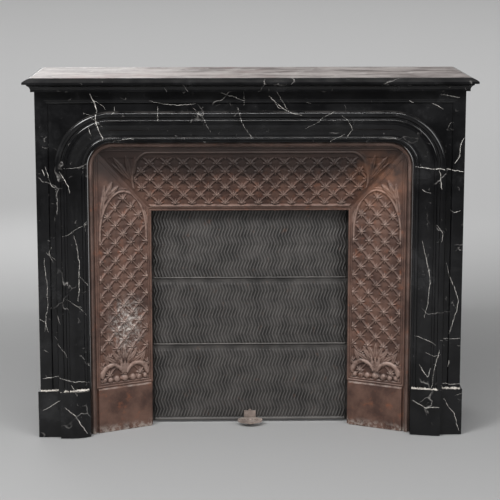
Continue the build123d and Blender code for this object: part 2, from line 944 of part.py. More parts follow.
def make_rail(side):
    """Guide rail: a web with four fins, which make one track for each leaf."""
    depth = rail_back_y - rail_front_y
    middle_y = (rail_back_y + rail_front_y) / 2
    width = rail_fin_depth + rail_web
    middle_x = side * (rail_fin_x + width / 2)
    lug_x = side * (rail_web_x + rail_web + rail_lug_width / 2)
    with BuildPart() as rail:
        with BuildSketch():
            with Locations((side * (rail_web_x + rail_web / 2), middle_y)):
                Rectangle(rail_web, depth)
            for fin in range(leaf_count + 1):
                fin_y = rail_front_y + rail_fin / 2 + fin * leaf_pitch
                with Locations((middle_x, fin_y)):
                    Rectangle(width, rail_fin)
        extrude(amount=rail_height)
        with BuildSketch():
            with Locations((middle_x, middle_y)):
                Rectangle(width, depth)
        extrude(amount=rail_foot)
        with BuildSketch(Plane.XY.offset(rail_height - rail_cap)):
            with Locations((middle_x, middle_y)):
                Rectangle(width, depth)
        extrude(amount=rail_cap)
        for level in (rail_lug_low, rail_lug_high):
            with BuildSketch(front_plane(rail_front_y + rail_lug_thickness)):
                with Locations((lug_x, level)):
                    Rectangle(rail_lug_width, rail_lug_height)
            extrude(amount=rail_lug_thickness)
        with BuildSketch(front_plane(rail_front_y + rail_lug_thickness)):
            with Locations((lug_x, rail_lug_low), (lug_x, rail_lug_high)):
                Circle(rail_screw_radius + bore_gap)
        extrude(amount=rail_lug_thickness, mode=Mode.SUBTRACT)
        for order, level in stop_pin_levels():
            with BuildSketch(Plane.YZ.offset(side * (rail_web_x + rail_web))):
                with Locations((leaf_back + order * leaf_pitch - leaf_sheet / 2, level)):
                    Circle(stop_pin_radius + bore_gap)
            extrude(amount=-side * rail_web, mode=Mode.SUBTRACT)
        with BuildSketch(Plane.XY.offset(rail_height)):
            with Locations((side * head_bolt_x(), middle_y)):
                Circle(head_bolt_radius + bore_gap)
        extrude(amount=-rail_cap, mode=Mode.SUBTRACT)
    save(rail.part, f"{side_name(side)}_guide_rail")


def stop_pin_levels():
    """Track number and pin centre level for the pins that the upper leaves rest on."""
    drop = stop_pin_radius + running_gap
    return [(1, middle_leaf_z - drop), (2, top_leaf_z - drop)]


def head_bolt_x():
    """Distance of the head bar's bolts from the middle."""
    return (rail_fin_x + rail_web_x) / 2


def make_stop_pins():
    """Pins through the rail webs, under the lower corners of the middle and top leaves."""
    with BuildPart() as pins:
        for side in (-1, 1):
            for order, level in stop_pin_levels():
                middle_y = leaf_back + order * leaf_pitch - leaf_sheet / 2
                with BuildSketch(Plane.YZ.offset(side * (rail_web_x + rail_web))):
                    with Locations((middle_y, level)):
                        Circle(stop_pin_radius)
                extrude(amount=-side * (rail_web + rail_fin_depth - rail_edge_gap))
                with BuildSketch(Plane.YZ.offset(side * (rail_web_x + rail_web))):
                    with Locations((middle_y, level)):
                        Circle(stop_pin_head_radius)
                extrude(amount=side * stop_pin_head)
    save(pins.part, "leaf_stop_pins")


def make_rail_screws():
    """Screws from behind that hold the rails to the lugs on the cheeks."""
    lug_x = rail_web_x + rail_web + rail_lug_width / 2
    spots = [(side * lug_x, z) for side in (-1, 1) for z in (rail_lug_low, rail_lug_high)]
    with BuildPart() as screws:
        with BuildSketch(front_plane(rail_front_y + rail_lug_thickness)):
            with Locations(*spots):
                Circle(rail_screw_radius)
        extrude(amount=rail_lug_thickness + rail_screw_reach - bore_gap)
        with BuildSketch(front_plane(rail_front_y + rail_lug_thickness)):
            with Locations(*spots):
                Circle(rail_screw_head_radius)
        extrude(amount=-rail_screw_head)
    save(screws.part, "rail_screws")


def make_head_bar():
    """Flat bar across the tops of the rails, which carries the pulleys."""
    middle_y = (rail_back_y + rail_front_y) / 2
    spots = [(side * head_bolt_x(), middle_y) for side in (-1, 1)]
    with BuildPart() as bar:
        with BuildSketch(Plane.XY.offset(rail_height)):
            with Locations((0, head_bar_front + head_bar_depth / 2)):
                Rectangle(head_bar_length, head_bar_depth)
            with Locations(*spots):
                Circle(head_bolt_radius + bore_gap, mode=Mode.SUBTRACT)
        extrude(amount=head_bar_thickness)
    save(bar.part, "head_bar")
    with BuildPart() as bolts:
        with BuildSketch(Plane.XY.offset(rail_height - rail_cap)):
            with Locations(*spots):
                Circle(head_bolt_radius)
        extrude(amount=rail_cap + head_bar_thickness)
        with BuildSketch(Plane.XY.offset(rail_height + head_bar_thickness)):
            with Locations(*spots):
                RegularPolygon(head_bolt_head_radius, head_bolt_sides)
        extrude(amount=head_bolt_head)
    save(bolts.part, "head_bar_bolts")


def make_pulley_bracket(side):
    """Fork that hangs from the head bar with the pulley between its two plates."""
    inner = pulley_width / 2 + fork_gap
    x = side * pulley_x
    with BuildPart() as bracket:
        for forward in (-1, 1):
            near = cable_y + forward * inner
            with BuildSketch(front_plane(near + (fork_thickness if forward > 0 else 0))):
                with Locations((x, pulley_z)):
                    Circle(fork_boss)
                with Locations((x, (pulley_z + rail_height) / 2)):
                    Rectangle(fork_width, rail_height - pulley_z)
            extrude(amount=fork_thickness)
        with BuildSketch(Plane.XY.offset(rail_height - fork_thickness)):
            with Locations((x, cable_y)):
                Rectangle(fork_width, 2 * inner + 2 * fork_thickness)
        extrude(amount=fork_thickness)
        with BuildSketch(front_plane(cable_y + inner + fork_thickness)):
            with Locations((x, pulley_z)):
                Circle(axle_radius + bore_gap)
        extrude(amount=2 * (inner + fork_thickness), mode=Mode.SUBTRACT)
    save(bracket.part, f"{side_name(side)}_pulley_bracket")


def make_axle(side):
    """Headed pin through the fork and the pulley."""
    outside = pulley_width / 2 + fork_gap + fork_thickness
    with BuildPart() as axle:
        with BuildSketch(front_plane(cable_y + outside)):
            with Locations((side * pulley_x, pulley_z)):
                Circle(axle_radius)
        extrude(amount=2 * outside)
        for back, front in ((outside + axle_head, outside), (-outside, -outside - axle_head)):
            with BuildSketch(front_plane(cable_y + back)):
                with Locations((side * pulley_x, pulley_z)):
                    Circle(axle_head_radius)
            extrude(amount=back - front)
    save(axle.part, f"{side_name(side)}_pulley_axle")


def make_pulley(side):
    """Grooved wheel with a hub, a thin web and round holes in the web."""
    half = pulley_width / 2
    groove = pulley_groove_radius
    rim = pulley_rim_radius
    bore = axle_radius + bore_gap
    rim_inside = groove - 2 * fork_thickness
    middle = (side * pulley_x, cable_y, pulley_z)
    with BuildPart() as pulley:
        with BuildSketch(Plane(origin=middle, x_dir=(1, 0, 0), z_dir=(0, 0, 1))):
            with BuildLine():
                Polyline(
                    (bore, -half),
                    (pulley_hub_radius, -half),
                    (pulley_hub_radius, -pulley_web / 2),
                    (rim_inside, -pulley_web / 2),
                    (rim_inside, -half),
                    (rim, -half),
                    (groove, -cable_radius),
                    (groove, cable_radius),
                    (rim, half),
                    (rim_inside, half),
                    (rim_inside, pulley_web / 2),
                    (pulley_hub_radius, pulley_web / 2),
                    (pulley_hub_radius, half),
                    (bore, half),
                    close=True,
                )
            make_face()
        revolve(axis=Axis(middle, (0, 1, 0)))
        with BuildSketch(front_plane(cable_y + pulley_web)):
            with Locations((side * pulley_x, pulley_z)):
                with PolarLocations(pulley_hole_circle, pulley_spoke_holes):
                    Circle(pulley_hole_radius)
        extrude(amount=2 * pulley_web, mode=Mode.SUBTRACT)
    save(pulley.part, f"{side_name(side)}_pulley")


def make_leaf_cable_lug(side):
    """Lug on the edge of the bottom leaf, with a shelf that the cable passes through."""
    sheet_front = leaf_back - leaf_sheet
    x = side * cable_x
    reach = sheet_front - cable_y + cable_lug_thickness
    with BuildPart() as lug:
        with BuildSketch(Plane.XY.offset(cable_lug_top - cable_lug_height)):
            with Locations((x, sheet_front - cable_lug_thickness / 2)):
                Rectangle(cable_lug_width, cable_lug_thickness)
        extrude(amount=cable_lug_height)
        with BuildSketch(Plane.XY.offset(cable_lug_top - cable_lug_shelf)):
            with Locations((x, sheet_front - reach / 2)):
                Rectangle(cable_lug_width, reach)
            with Locations((x, cable_y)):
                Circle(cable_radius + cable_hole_gap, mode=Mode.SUBTRACT)
        extrude(amount=cable_lug_shelf)
        with BuildSketch(front_plane(sheet_front)):
            with Locations((x, lug_rivet_level())):
                Circle(lug_rivet_radius + bore_gap)
        extrude(amount=cable_lug_thickness, mode=Mode.SUBTRACT)
    save(lug.part, f"{side_name(side)}_cable_lug")


def lug_rivet_level():
    """Height of the rivet in each cable lug."""
    return cable_lug_top - lug_rivet_drop


def make_lug_rivets():
    """Rivets that hold the cable lugs to the bottom leaf."""
    face = leaf_back - leaf_sheet - cable_lug_thickness
    with BuildPart() as rivets:
        for side in (-1, 1):
            with BuildSketch(front_plane(leaf_back - leaf_sheet)):
                with Locations((side * cable_x, lug_rivet_level())):
                    Circle(lug_rivet_radius)
            extrude(amount=cable_lug_thickness)
            with BuildSketch(front_plane(face)):
                with Locations((side * cable_x, lug_rivet_level())):
                    Circle(lug_rivet_head_radius)
            extrude(amount=lug_rivet_head)
    save(rivets.part, "lug_rivets")


def make_ferrules():
    """Cable ends with crimped ferrules under the lugs."""
    with BuildPart() as ferrules:
        for side in (-1, 1):
            with BuildSketch(Plane.XY.offset(cable_lug_top - cable_lug_shelf)):
                with Locations((side * cable_x, cable_y)):
                    Circle(cable_radius)
            extrude(amount=cable_lug_shelf)
            with BuildSketch(Plane.XY.offset(cable_lug_top - cable_lug_shelf - ferrule_height)):
                with Locations((side * cable_x, cable_y)):
                    Circle(ferrule_radius)
            extrude(amount=ferrule_height)
    save(ferrules.part, "cable_ferrules")


def make_cables(side):
    """The cable in three stretches: leaf to pulley, over the pulley, and pulley to weight."""
    name = side_name(side)
    stretches = (
        (f"{name}_leaf_cable", cable_x, cable_lug_top),
        (f"{name}_weight_cable", weight_x, weight_top + eye_height),
    )
    for label, x, bottom in stretches:
        with BuildPart() as run:
            with BuildSketch(Plane.XY.offset(bottom)):
                with Locations((side * x, cable_y)):
                    Circle(cable_radius)
            extrude(amount=pulley_z - bottom)
        save(run.part, label)
    with BuildPart() as over:
        with BuildSketch(Plane.XY.offset(pulley_z)):
            with Locations((side * cable_x, cable_y)):
                Circle(cable_radius)
        revolve(axis=Axis((side * pulley_x, cable_y, pulley_z), (0, side, 0)), revolution_arc=180)
    save(over.part, f"{name}_cable_over_pulley")


def make_weight(side):
    """Cylindrical counterweight with eased ends, and the eye that the cable is made fast to."""
    x = side * weight_x
    with BuildPart() as weight:
        with BuildSketch(Plane.XY.offset(weight_top - weight_length)):
            with Locations((x, cable_y)):
                Circle(weight_radius)
        extrude(amount=weight_length)
        chamfer(weight.edges().group_by(Axis.Z)[-1], weight_chamfer)
        chamfer(weight.edges().group_by(Axis.Z)[0], weight_chamfer)
    save(weight.part, f"{side_name(side)}_counterweight")
    ring_radius = eye_bore_radius + eye_wire / 2
    ring_z = weight_top + eye_height - cable_radius - ring_radius
    with BuildPart() as eye:
        with BuildSketch(Plane.XY.offset(weight_top)):
            with Locations((x, cable_y)):
                Circle(eye_shank_radius)
        extrude(amount=ring_z - ring_radius - weight_top)
        with BuildSketch(Plane(origin=(x, cable_y, ring_z), x_dir=(1, 0, 0), z_dir=(0, 0, 1))):
            with Locations((ring_radius, 0)):
                Circle(eye_wire / 2)
        revolve(axis=Axis((x, cable_y, ring_z), (0, 1, 0)))
        with BuildSketch(Plane.XY.offset(ring_z + ring_radius)):
            with Locations((x, cable_y)):
                Circle(ferrule_radius)
        extrude(amount=weight_top + eye_height - ring_z - ring_radius)
    save(eye.part, f"{side_name(side)}_weight_eye")


def handle_rivet_spots():
    """Places of the two rivets through the handle's tab, as X and Z."""
    z = handle_level + handle_rivet_rise
    return [(-handle_rivet_spread / 2, z), (handle_rivet_spread / 2, z)]


def make_handle():
    """Pull at the foot of the shutter: a pierced oval plate on an upright riveted tab."""
    tab_back = leaf_back - leaf_sheet - chevron_depth
    front = tab_back - handle_reach
    middle_y = (tab_back + front) / 2
    with BuildPart() as handle:
        with BuildSketch(Plane.XY.offset(handle_level)):
            with Locations((0, middle_y)):
                Ellipse(handle_width / 2, handle_reach / 2)
            with Locations((0, (middle_y + tab_back) / 2)):
                Rectangle(handle_tab_width, tab_back - middle_y)
            with Locations((0, front + handle_lobe_radius / 2)):
                Circle(handle_lobe_radius)
            with Locations((-handle_eye_spread, middle_y), (handle_eye_spread, middle_y)):
                Ellipse(handle_eye_width / 2, handle_eye_depth, mode=Mode.SUBTRACT)
        extrude(amount=handle_thickness)
        with BuildSketch(Plane.XY.offset(handle_level + handle_thickness)):
            with Locations((0, middle_y)):
                Circle(handle_boss_radius)
        extrude(amount=handle_boss_height, taper=handle_boss_taper)
        with BuildSketch(front_plane(tab_back)):
            with Locations((0, handle_level + handle_tab_height / 2)):
                Rectangle(handle_tab_width, handle_tab_height)
            with Locations((0, handle_level + handle_tab_height)):
                Circle(handle_tab_crown)
            with Locations(*handle_rivet_spots()):
                Circle(handle_rivet_radius + bore_gap, mode=Mode.SUBTRACT)
        extrude(amount=handle_tab_thickness)
    save(handle.part, "shutter_handle")
    with BuildPart() as rivets:
        with BuildSketch(front_plane(tab_back)):
            with Locations(*handle_rivet_spots()):
                Circle(handle_rivet_radius)
        extrude(amount=handle_tab_thickness)
        with BuildSketch(front_plane(tab_back - handle_tab_thickness)):
            with Locations(*handle_rivet_spots()):
                Circle(handle_rivet_head_radius)
        extrude(amount=handle_rivet_head)
    save(rivets.part, "handle_rivets")


os.makedirs("parts", exist_ok=True)
make_shelf()
make_lintel()
make_dowels()
make_cramps()
make_wall_ties()
make_tie_screws()
make_plinth(-1, left_plinth_flat, left_plinth_bow)
make_plinth(1, right_plinth_flat, right_plinth_bow)
make_header()
make_insert_frame()
make_insert_screws()
make_leaf("leaf_bottom", leaf_floor_gap, leaf_height, 0)
make_leaf("leaf_middle", middle_leaf_z, leaf_height, 1)
make_leaf("leaf_top", top_leaf_z, top_leaf_height, 2)
make_stop_pins()
make_rail_screws()
make_head_bar()
make_lug_rivets()
make_ferrules()
make_handle()
for hand in (-1, 1):
    make_jamb(hand)
    make_return(hand)
    make_return_plinth(hand)
    make_cheek(hand)
    make_base_plate(hand)
    make_rail(hand)
    make_pulley_bracket(hand)
    make_axle(hand)
    make_pulley(hand)
    make_leaf_cable_lug(hand)
    make_cables(hand)
    make_weight(hand)
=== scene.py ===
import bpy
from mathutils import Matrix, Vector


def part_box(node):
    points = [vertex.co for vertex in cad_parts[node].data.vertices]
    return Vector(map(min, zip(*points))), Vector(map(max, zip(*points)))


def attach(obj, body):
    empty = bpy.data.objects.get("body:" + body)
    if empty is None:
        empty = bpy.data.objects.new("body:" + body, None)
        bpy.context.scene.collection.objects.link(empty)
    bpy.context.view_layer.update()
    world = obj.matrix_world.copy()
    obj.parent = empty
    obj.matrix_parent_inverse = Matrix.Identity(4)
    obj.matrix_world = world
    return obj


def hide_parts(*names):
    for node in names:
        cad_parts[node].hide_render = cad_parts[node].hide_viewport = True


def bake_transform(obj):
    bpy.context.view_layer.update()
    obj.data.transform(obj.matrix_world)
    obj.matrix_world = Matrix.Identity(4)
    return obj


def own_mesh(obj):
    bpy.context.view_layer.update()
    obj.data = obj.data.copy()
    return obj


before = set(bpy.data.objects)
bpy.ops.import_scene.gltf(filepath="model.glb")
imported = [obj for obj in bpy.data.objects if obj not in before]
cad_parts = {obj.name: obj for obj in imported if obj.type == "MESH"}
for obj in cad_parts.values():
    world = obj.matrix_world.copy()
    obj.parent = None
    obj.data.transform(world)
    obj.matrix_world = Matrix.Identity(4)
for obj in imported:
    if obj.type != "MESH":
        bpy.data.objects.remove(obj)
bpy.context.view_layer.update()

import logging
import math
from dataclasses import dataclass
from enum import Enum

import bpy
import numpy as np
from mathutils import Vector
from mathutils.bvhtree import BVHTree

logging.basicConfig(level=logging.INFO, format="%(message)s")
log = logging.getLogger("fireplace")

Socket, Node, NodeTree = bpy.types.NodeSocket, bpy.types.Node, bpy.types.NodeTree
Material, Piece, Array = bpy.types.Material, bpy.types.Object, np.ndarray
Pair, Triple = tuple[float, float], tuple[float, float, float]

RELIEF_FULL = 0.0062
RIB_SLANT = 0.733
PICTURE_SCALE, PICTURE_MIDDLE, PICTURE_TOP = 336.9, 249.9, 89.8
SHELF_UNDERSIDE = 1.040


class Side(Enum):
    """The two hands of the fireplace, as seen from the room."""

    LEFT = -1
    RIGHT = 1

    @property
    def word(self) -> str:
        """The side's name in lower case."""
        return self.name.lower()


class Tree:
    """Adds nodes to one shader or geometry tree and joins them."""

    def __init__(self, tree: NodeTree) -> None:
        """Takes hold of a tree.

        Args:
            tree: The node tree to add to.
        """
        self.tree = tree

    def put(self, socket: Socket, value: object) -> None:
        """Sets an input, or links it when the value is a socket.

        Args:
            socket: The input socket.
            value: A number, colour or vector, or an output socket.
        """
        if isinstance(value, Socket):
            self.tree.links.new(value, socket)
        else:
            socket.default_value = value

    def add(self, kind: str, inputs: dict | None = None, **settings: object) -> Node:
        """Adds a node.

        Args:
            kind: Blender's name for the node.
            inputs: Values or sockets by input name or number.
            **settings: Properties of the node itself.

        Returns:
            The new node.
        """
        node = self.tree.nodes.new(kind)
        for name, value in settings.items():
            setattr(node, name, value)
        for name, value in (inputs or {}).items():
            self.put(node.inputs[name], value)
        return node

    def calc(self, operation: str, *values: object, clamp: bool = False) -> Socket:
        """A Math node.

        Args:
            operation: The operation's name.
            *values: Its inputs in turn.
            clamp: Whether the result is held between 0 and 1.

        Returns:
            The result.
        """
        node = self.add("ShaderNodeMath", dict(enumerate(values)), operation=operation, use_clamp=clamp)
        return node.outputs[0]

    def times(self, *values: object) -> Socket:
        """The product of two values."""
        return self.calc("MULTIPLY", *values)

    def plus(self, *values: object) -> Socket:
        """The sum of two values."""
        return self.calc("ADD", *values)

    def minus(self, *values: object) -> Socket:
        """The first value less the second."""
        return self.calc("SUBTRACT", *values)

    def part(self, vector: object, axis: str) -> Socket:
        """One part of a vector."""
        return self.add("ShaderNodeSeparateXYZ", {0: vector}).outputs[axis]

    def kept(self, name: str) -> Socket:
        """A number kept on a geometry's points."""
        return self.add("GeometryNodeInputNamedAttribute", {"Name": name}, data_type="FLOAT").outputs[0]

    def vector(self, operation: str, *values: object) -> Socket:
        """A Vector Math node.

        Args:
            operation: The operation's name.
            *values: Its inputs in turn.

        Returns:
            The vector, or the number for a length.
        """
        node = self.add("ShaderNodeVectorMath", dict(enumerate(values)), operation=operation)
        return node.outputs["Value" if operation == "LENGTH" else "Vector"]

    def rise(self, value: object, low: object, high: object) -> Socket:
        """A smooth step from 0 at low to 1 at high.

        Args:
            value: What is measured.
            low: Where the step starts.
            high: Where it ends.

        Returns:
            The mask.
        """
        node = self.add(
            "ShaderNodeMapRange",
            {"Value": value, "From Min": low, "From Max": high},
            interpolation_type="SMOOTHSTEP",
        )
        return node.outputs["Result"]

    def noise(
        self, point: object, scale: float, detail: float = 3.0, rough: float = 0.55, colour: bool = False
    ) -> Socket:
        """A noise texture.

        Args:
            point: Where it is read.
            scale: Its scale, per metre.
            detail: Octaves.
            rough: How strong the finer octaves are.
            colour: Whether the colour is wanted and not the factor.

        Returns:
            The factor or the colour.
        """
        node = self.add(
            "ShaderNodeTexNoise", {"Vector": point, "Scale": scale, "Detail": detail, "Roughness": rough}
        )
        return node.outputs["Color" if colour else 0]

    def blend(self, share: object, first: object, second: object) -> Socket:
        """Mixes two colours.

        Args:
            share: How much of the second.
            first: A colour.
            second: Another colour.

        Returns:
            The mixture.
        """
        node = self.add("ShaderNodeMix", data_type="RGBA")
        self.put(node.inputs[0], share)
        self.put(node.inputs[6], first)
        self.put(node.inputs[7], second)
        return node.outputs[2]


def socket_kind(value: object) -> str:
    """The interface type for a default value.

    Args:
        value: A number or a triple.

    Returns:
        Blender's socket type name.
    """
    return "NodeSocketVector" if isinstance(value, tuple) else "NodeSocketFloat"


def open_group(name: str, inputs: dict[str, object], outputs: list[str]) -> tuple[Tree, dict, Node]:
    """Starts a shader group with named inputs and outputs.

    Args:
        name: The group's name.
        inputs: Default values by name.
        outputs: Names of the masks that it puts out.

    Returns:
        The tree, its inputs by name and its output node.
    """
    group = bpy.data.node_groups.new(name, "ShaderNodeTree")
    for key, value in inputs.items():
        made = group.interface.new_socket(name=key, in_out="INPUT", socket_type=socket_kind(value))
        made.default_value = value
    for key in outputs:
        group.interface.new_socket(name=key, in_out="OUTPUT", socket_type="NodeSocketFloat")
    tree = Tree(group)
    entry = tree.add("NodeGroupInput")
    leave = tree.add("NodeGroupOutput")
    return tree, {key: entry.outputs[key] for key in inputs}, leave


class Effects:
    """The shader groups that the finishes share, each built once."""

    def __init__(self) -> None:
        """Builds every group."""
        self.veins = self._veins()
        self.dust = self._dust()
        self.hollows = self._crease_shade()
        self.grain = self._grain()

    def _veins(self) -> NodeTree:
        """Thin broken veins along the cells of a warped stone, and soft clouds.

        Returns:
            The group.
        """
        t, i, out = open_group(
            "Stone veins", {"Point": (0.0, 0.0, 0.0), "Scale": 6.0, "Width": 0.012, "Amount": 0.5},
            ["Vein", "Cloud"],
        )
        warp = t.vector("SUBTRACT", t.noise(i["Point"], 5.0, 4.0, 0.6, True), (0.5, 0.5, 0.5))
        bent = t.vector("ADD", i["Point"], t.vector("MULTIPLY", warp, (0.16, 0.16, 0.16)))
        cells = t.add(
            "ShaderNodeTexVoronoi", {"Vector": bent, "Scale": i["Scale"]}, feature="DISTANCE_TO_EDGE"
        )
        line = t.minus(1.0, t.rise(cells.outputs["Distance"], 0.0, i["Width"]))
        patches = {"Vector": i["Point"], "Scale": t.times(i["Scale"], 1.4), "Detail": 2.0}
        keep = t.add("ShaderNodeTexNoise", patches).outputs[0]
        gate = t.minus(1.0, i["Amount"])
        shown = t.rise(keep, gate, t.plus(gate, 0.1))
        t.put(out.inputs["Vein"], t.times(line, shown))
        t.put(out.inputs["Cloud"], t.rise(t.noise(bent, 7.0, 5.0, 0.65), 0.5, 0.75))
        return t.tree

    def _dust(self) -> NodeTree:
        """Dust that lies in patches on faces that look up.

        Returns:
            The group.
        """
        t, i, out = open_group(
            "Settled dust", {"Point": (0.0, 0.0, 0.0), "Level": 0.5, "Scale": 20.0}, ["Mask"]
        )
        up = t.part(t.add("ShaderNodeNewGeometry").outputs["Normal"], "Z")
        patch = t.add("ShaderNodeTexNoise", {"Vector": i["Point"], "Scale": i["Scale"], "Detail": 5.0})
        cover = t.rise(patch.outputs[0], 0.3, 0.7)
        t.put(out.inputs["Mask"], t.times(t.times(t.rise(up, 0.35, 0.9), cover), i["Level"]))
        return t.tree

    def _crease_shade(self) -> NodeTree:
        """Painted shade where a surface is folded in on itself, from the piece's own form.

        Returns:
            The group.
        """
        t, i, out = open_group("Hollows", {"Reach": 0.01}, ["Mask"])
        # Ambient occlusion becomes the mask for painted shade in creases and recesses.
        found = t.add("ShaderNodeAmbientOcclusion", {"Distance": i["Reach"]}, samples=6, only_local=True)
        t.put(out.inputs["Mask"], t.rise(found.outputs["AO"], 0.95, 0.35))
        return t.tree

    def _grain(self) -> NodeTree:
        """Fine grain, and broad patches, for colour, roughness and bump.

        Returns:
            The group.
        """
        t, i, out = open_group(
            "Grain", {"Point": (0.0, 0.0, 0.0), "Fine": 900.0, "Broad": 18.0}, ["Fine", "Broad"]
        )
        fine = t.add("ShaderNodeTexNoise", {"Vector": i["Point"], "Scale": i["Fine"], "Detail": 3.0})
        rough = {"Vector": i["Point"], "Scale": i["Broad"], "Detail": 6.0, "Roughness": 0.62}
        broad = t.add("ShaderNodeTexNoise", rough)
        t.put(out.inputs["Fine"], fine.outputs[0])
        t.put(out.inputs["Broad"], broad.outputs[0])
        return t.tree


def tone(red: float, green: float, blue: float) -> tuple[float, float, float, float]:
    """A linear colour from display values.

    Args:
        red: Red from 0 to 255.
        green: Green from 0 to 255.
        blue: Blue from 0 to 255.

    Returns:
        The linear colour with alpha 1.
    """
    parts = [c / 255 for c in (red, green, blue)]
    return (*[c / 12.92 if c <= 0.04045 else ((c + 0.055) / 1.055) ** 2.4 for c in parts], 1.0)


@dataclass(frozen=True)
class Finish:
    """What every finish has: a name and a base to build its nodes on."""

    name: str

    def start(self, roughness: float, metallic: float = 0.0) -> tuple[Material, Tree, Node, object]:
        """Makes an empty material with a Principled shader.

        Args:
            roughness: The plain roughness.
            metallic: The plain metallic value.

        Returns:
            The material, its tree, the shader and the Object coordinates.
        """
        material = bpy.data.materials.new(self.name)
        material.use_nodes = True
        material.node_tree.nodes.clear()
        t = Tree(material.node_tree)
        shader = t.add("ShaderNodeBsdfPrincipled", {"Roughness": roughness, "Metallic": metallic})
        leave = t.add("ShaderNodeOutputMaterial")
        t.put(leave.inputs["Surface"], shader.outputs["BSDF"])
        return material, t, shader, t.add("ShaderNodeTexCoord").outputs["Object"]

    def place(self, t: Tree, group: NodeTree, inputs: dict[str, object]) -> Node:
        """Places a shared effect in a material.

        Args:
            t: The material's tree.
            group: The effect.
            inputs: Its values.

        Returns:
            The group's node.
        """
        node = t.add("ShaderNodeGroup", node_tree=group)
        for name, value in inputs.items():
            t.put(node.inputs[name], value)
        return node

    def bump(self, t: Tree, shader: Node, height: object, depth: float) -> None:
        """Puts a bump on the shader's normal.

        Args:
            t: The material's tree.
            shader: The shader.
            height: The height mask.
            depth: How deep it is, in metres.
        """
        node = t.add("ShaderNodeBump", {"Height": height, "Distance": depth, "Strength": 0.6})
        t.put(shader.inputs["Normal"], node.outputs["Normal"])


MAIN_VEINS: tuple[tuple[float, tuple[Pair, ...]], ...] = (
    (2.4, ((92, 91), (96, 101), (98, 109), (97.7, 118), (100.4, 128), (104, 137))),
    (1.0, ((89.6, 123), (93, 133))),
    (1.4, ((116, 105), (116.4, 108.6), (113, 111))),
    (1.3, ((43.7, 166), (46, 172))),
    (1.2, ((46.8, 163), (53, 183), (58, 185))),
    (1.5, ((61, 167), (67, 176), (71, 189))),
    (1.2, ((405.5, 98), (411, 101))),
    (1.0, ((436, 92.5), (456, 95))),
    (1.2, ((428, 101), (440, 107))),
    (1.6, ((461, 135), (458, 142), (457, 154), (452, 161))),
    (2.0, ((413.6, 164.4), (428, 166.6), (461, 169.3))),
    (1.4, ((437, 166.6), (439, 186))),
    (1.3, ((420.7, 187.6), (428.8, 190.3))),
    (1.4, ((449, 208), (453, 210), (459, 208.5))),
    (1.8, ((421, 368), (428, 379), (432, 370))),
    (1.1, ((440, 350), (436, 375), (433, 393))),
    (1.5, ((40, 379), (59, 378), (66, 381), (87, 384))),
    (1.2, ((69, 386), (75, 396))),
    (1.3, ((442, 387), (463, 387))),
    (1.8, ((62, 408), (72, 416), (84, 436))),
    (1.4, ((40, 412), (58, 402))),
    (1.8, ((414, 404), (428, 412), (441, 410))),
    (1.4, ((446, 402), (456, 418), (462, 436))),
    (1.0, ((150, 98), (178, 104), (196, 101))),
    (1.1, ((268, 93), (282, 107), (300, 112))),
    (1.2, ((74, 232), (80, 262), (77, 300))),
    (1.0, ((44, 255), (47, 300), (43, 330))),
    (1.1, ((446, 262), (458, 300), (450, 335))),
    (1.0, ((422, 240), (431, 282), (425, 318))),
    (0.7, ((66, 164.6), (76, 165), (88, 164.8))),
)


def front_place(x: float, y: float) -> Triple:
    """The place on the surround's front for a spot given in the 500-wide picture frame.

    Args:
        x: Distance from the left.
        y: Distance from the top.

    Returns:
        The point, with its depth left at 0.
    """
    return ((x - PICTURE_MIDDLE) / PICTURE_SCALE, 0.0, SHELF_UNDERSIDE - (y - PICTURE_TOP) / PICTURE_SCALE)


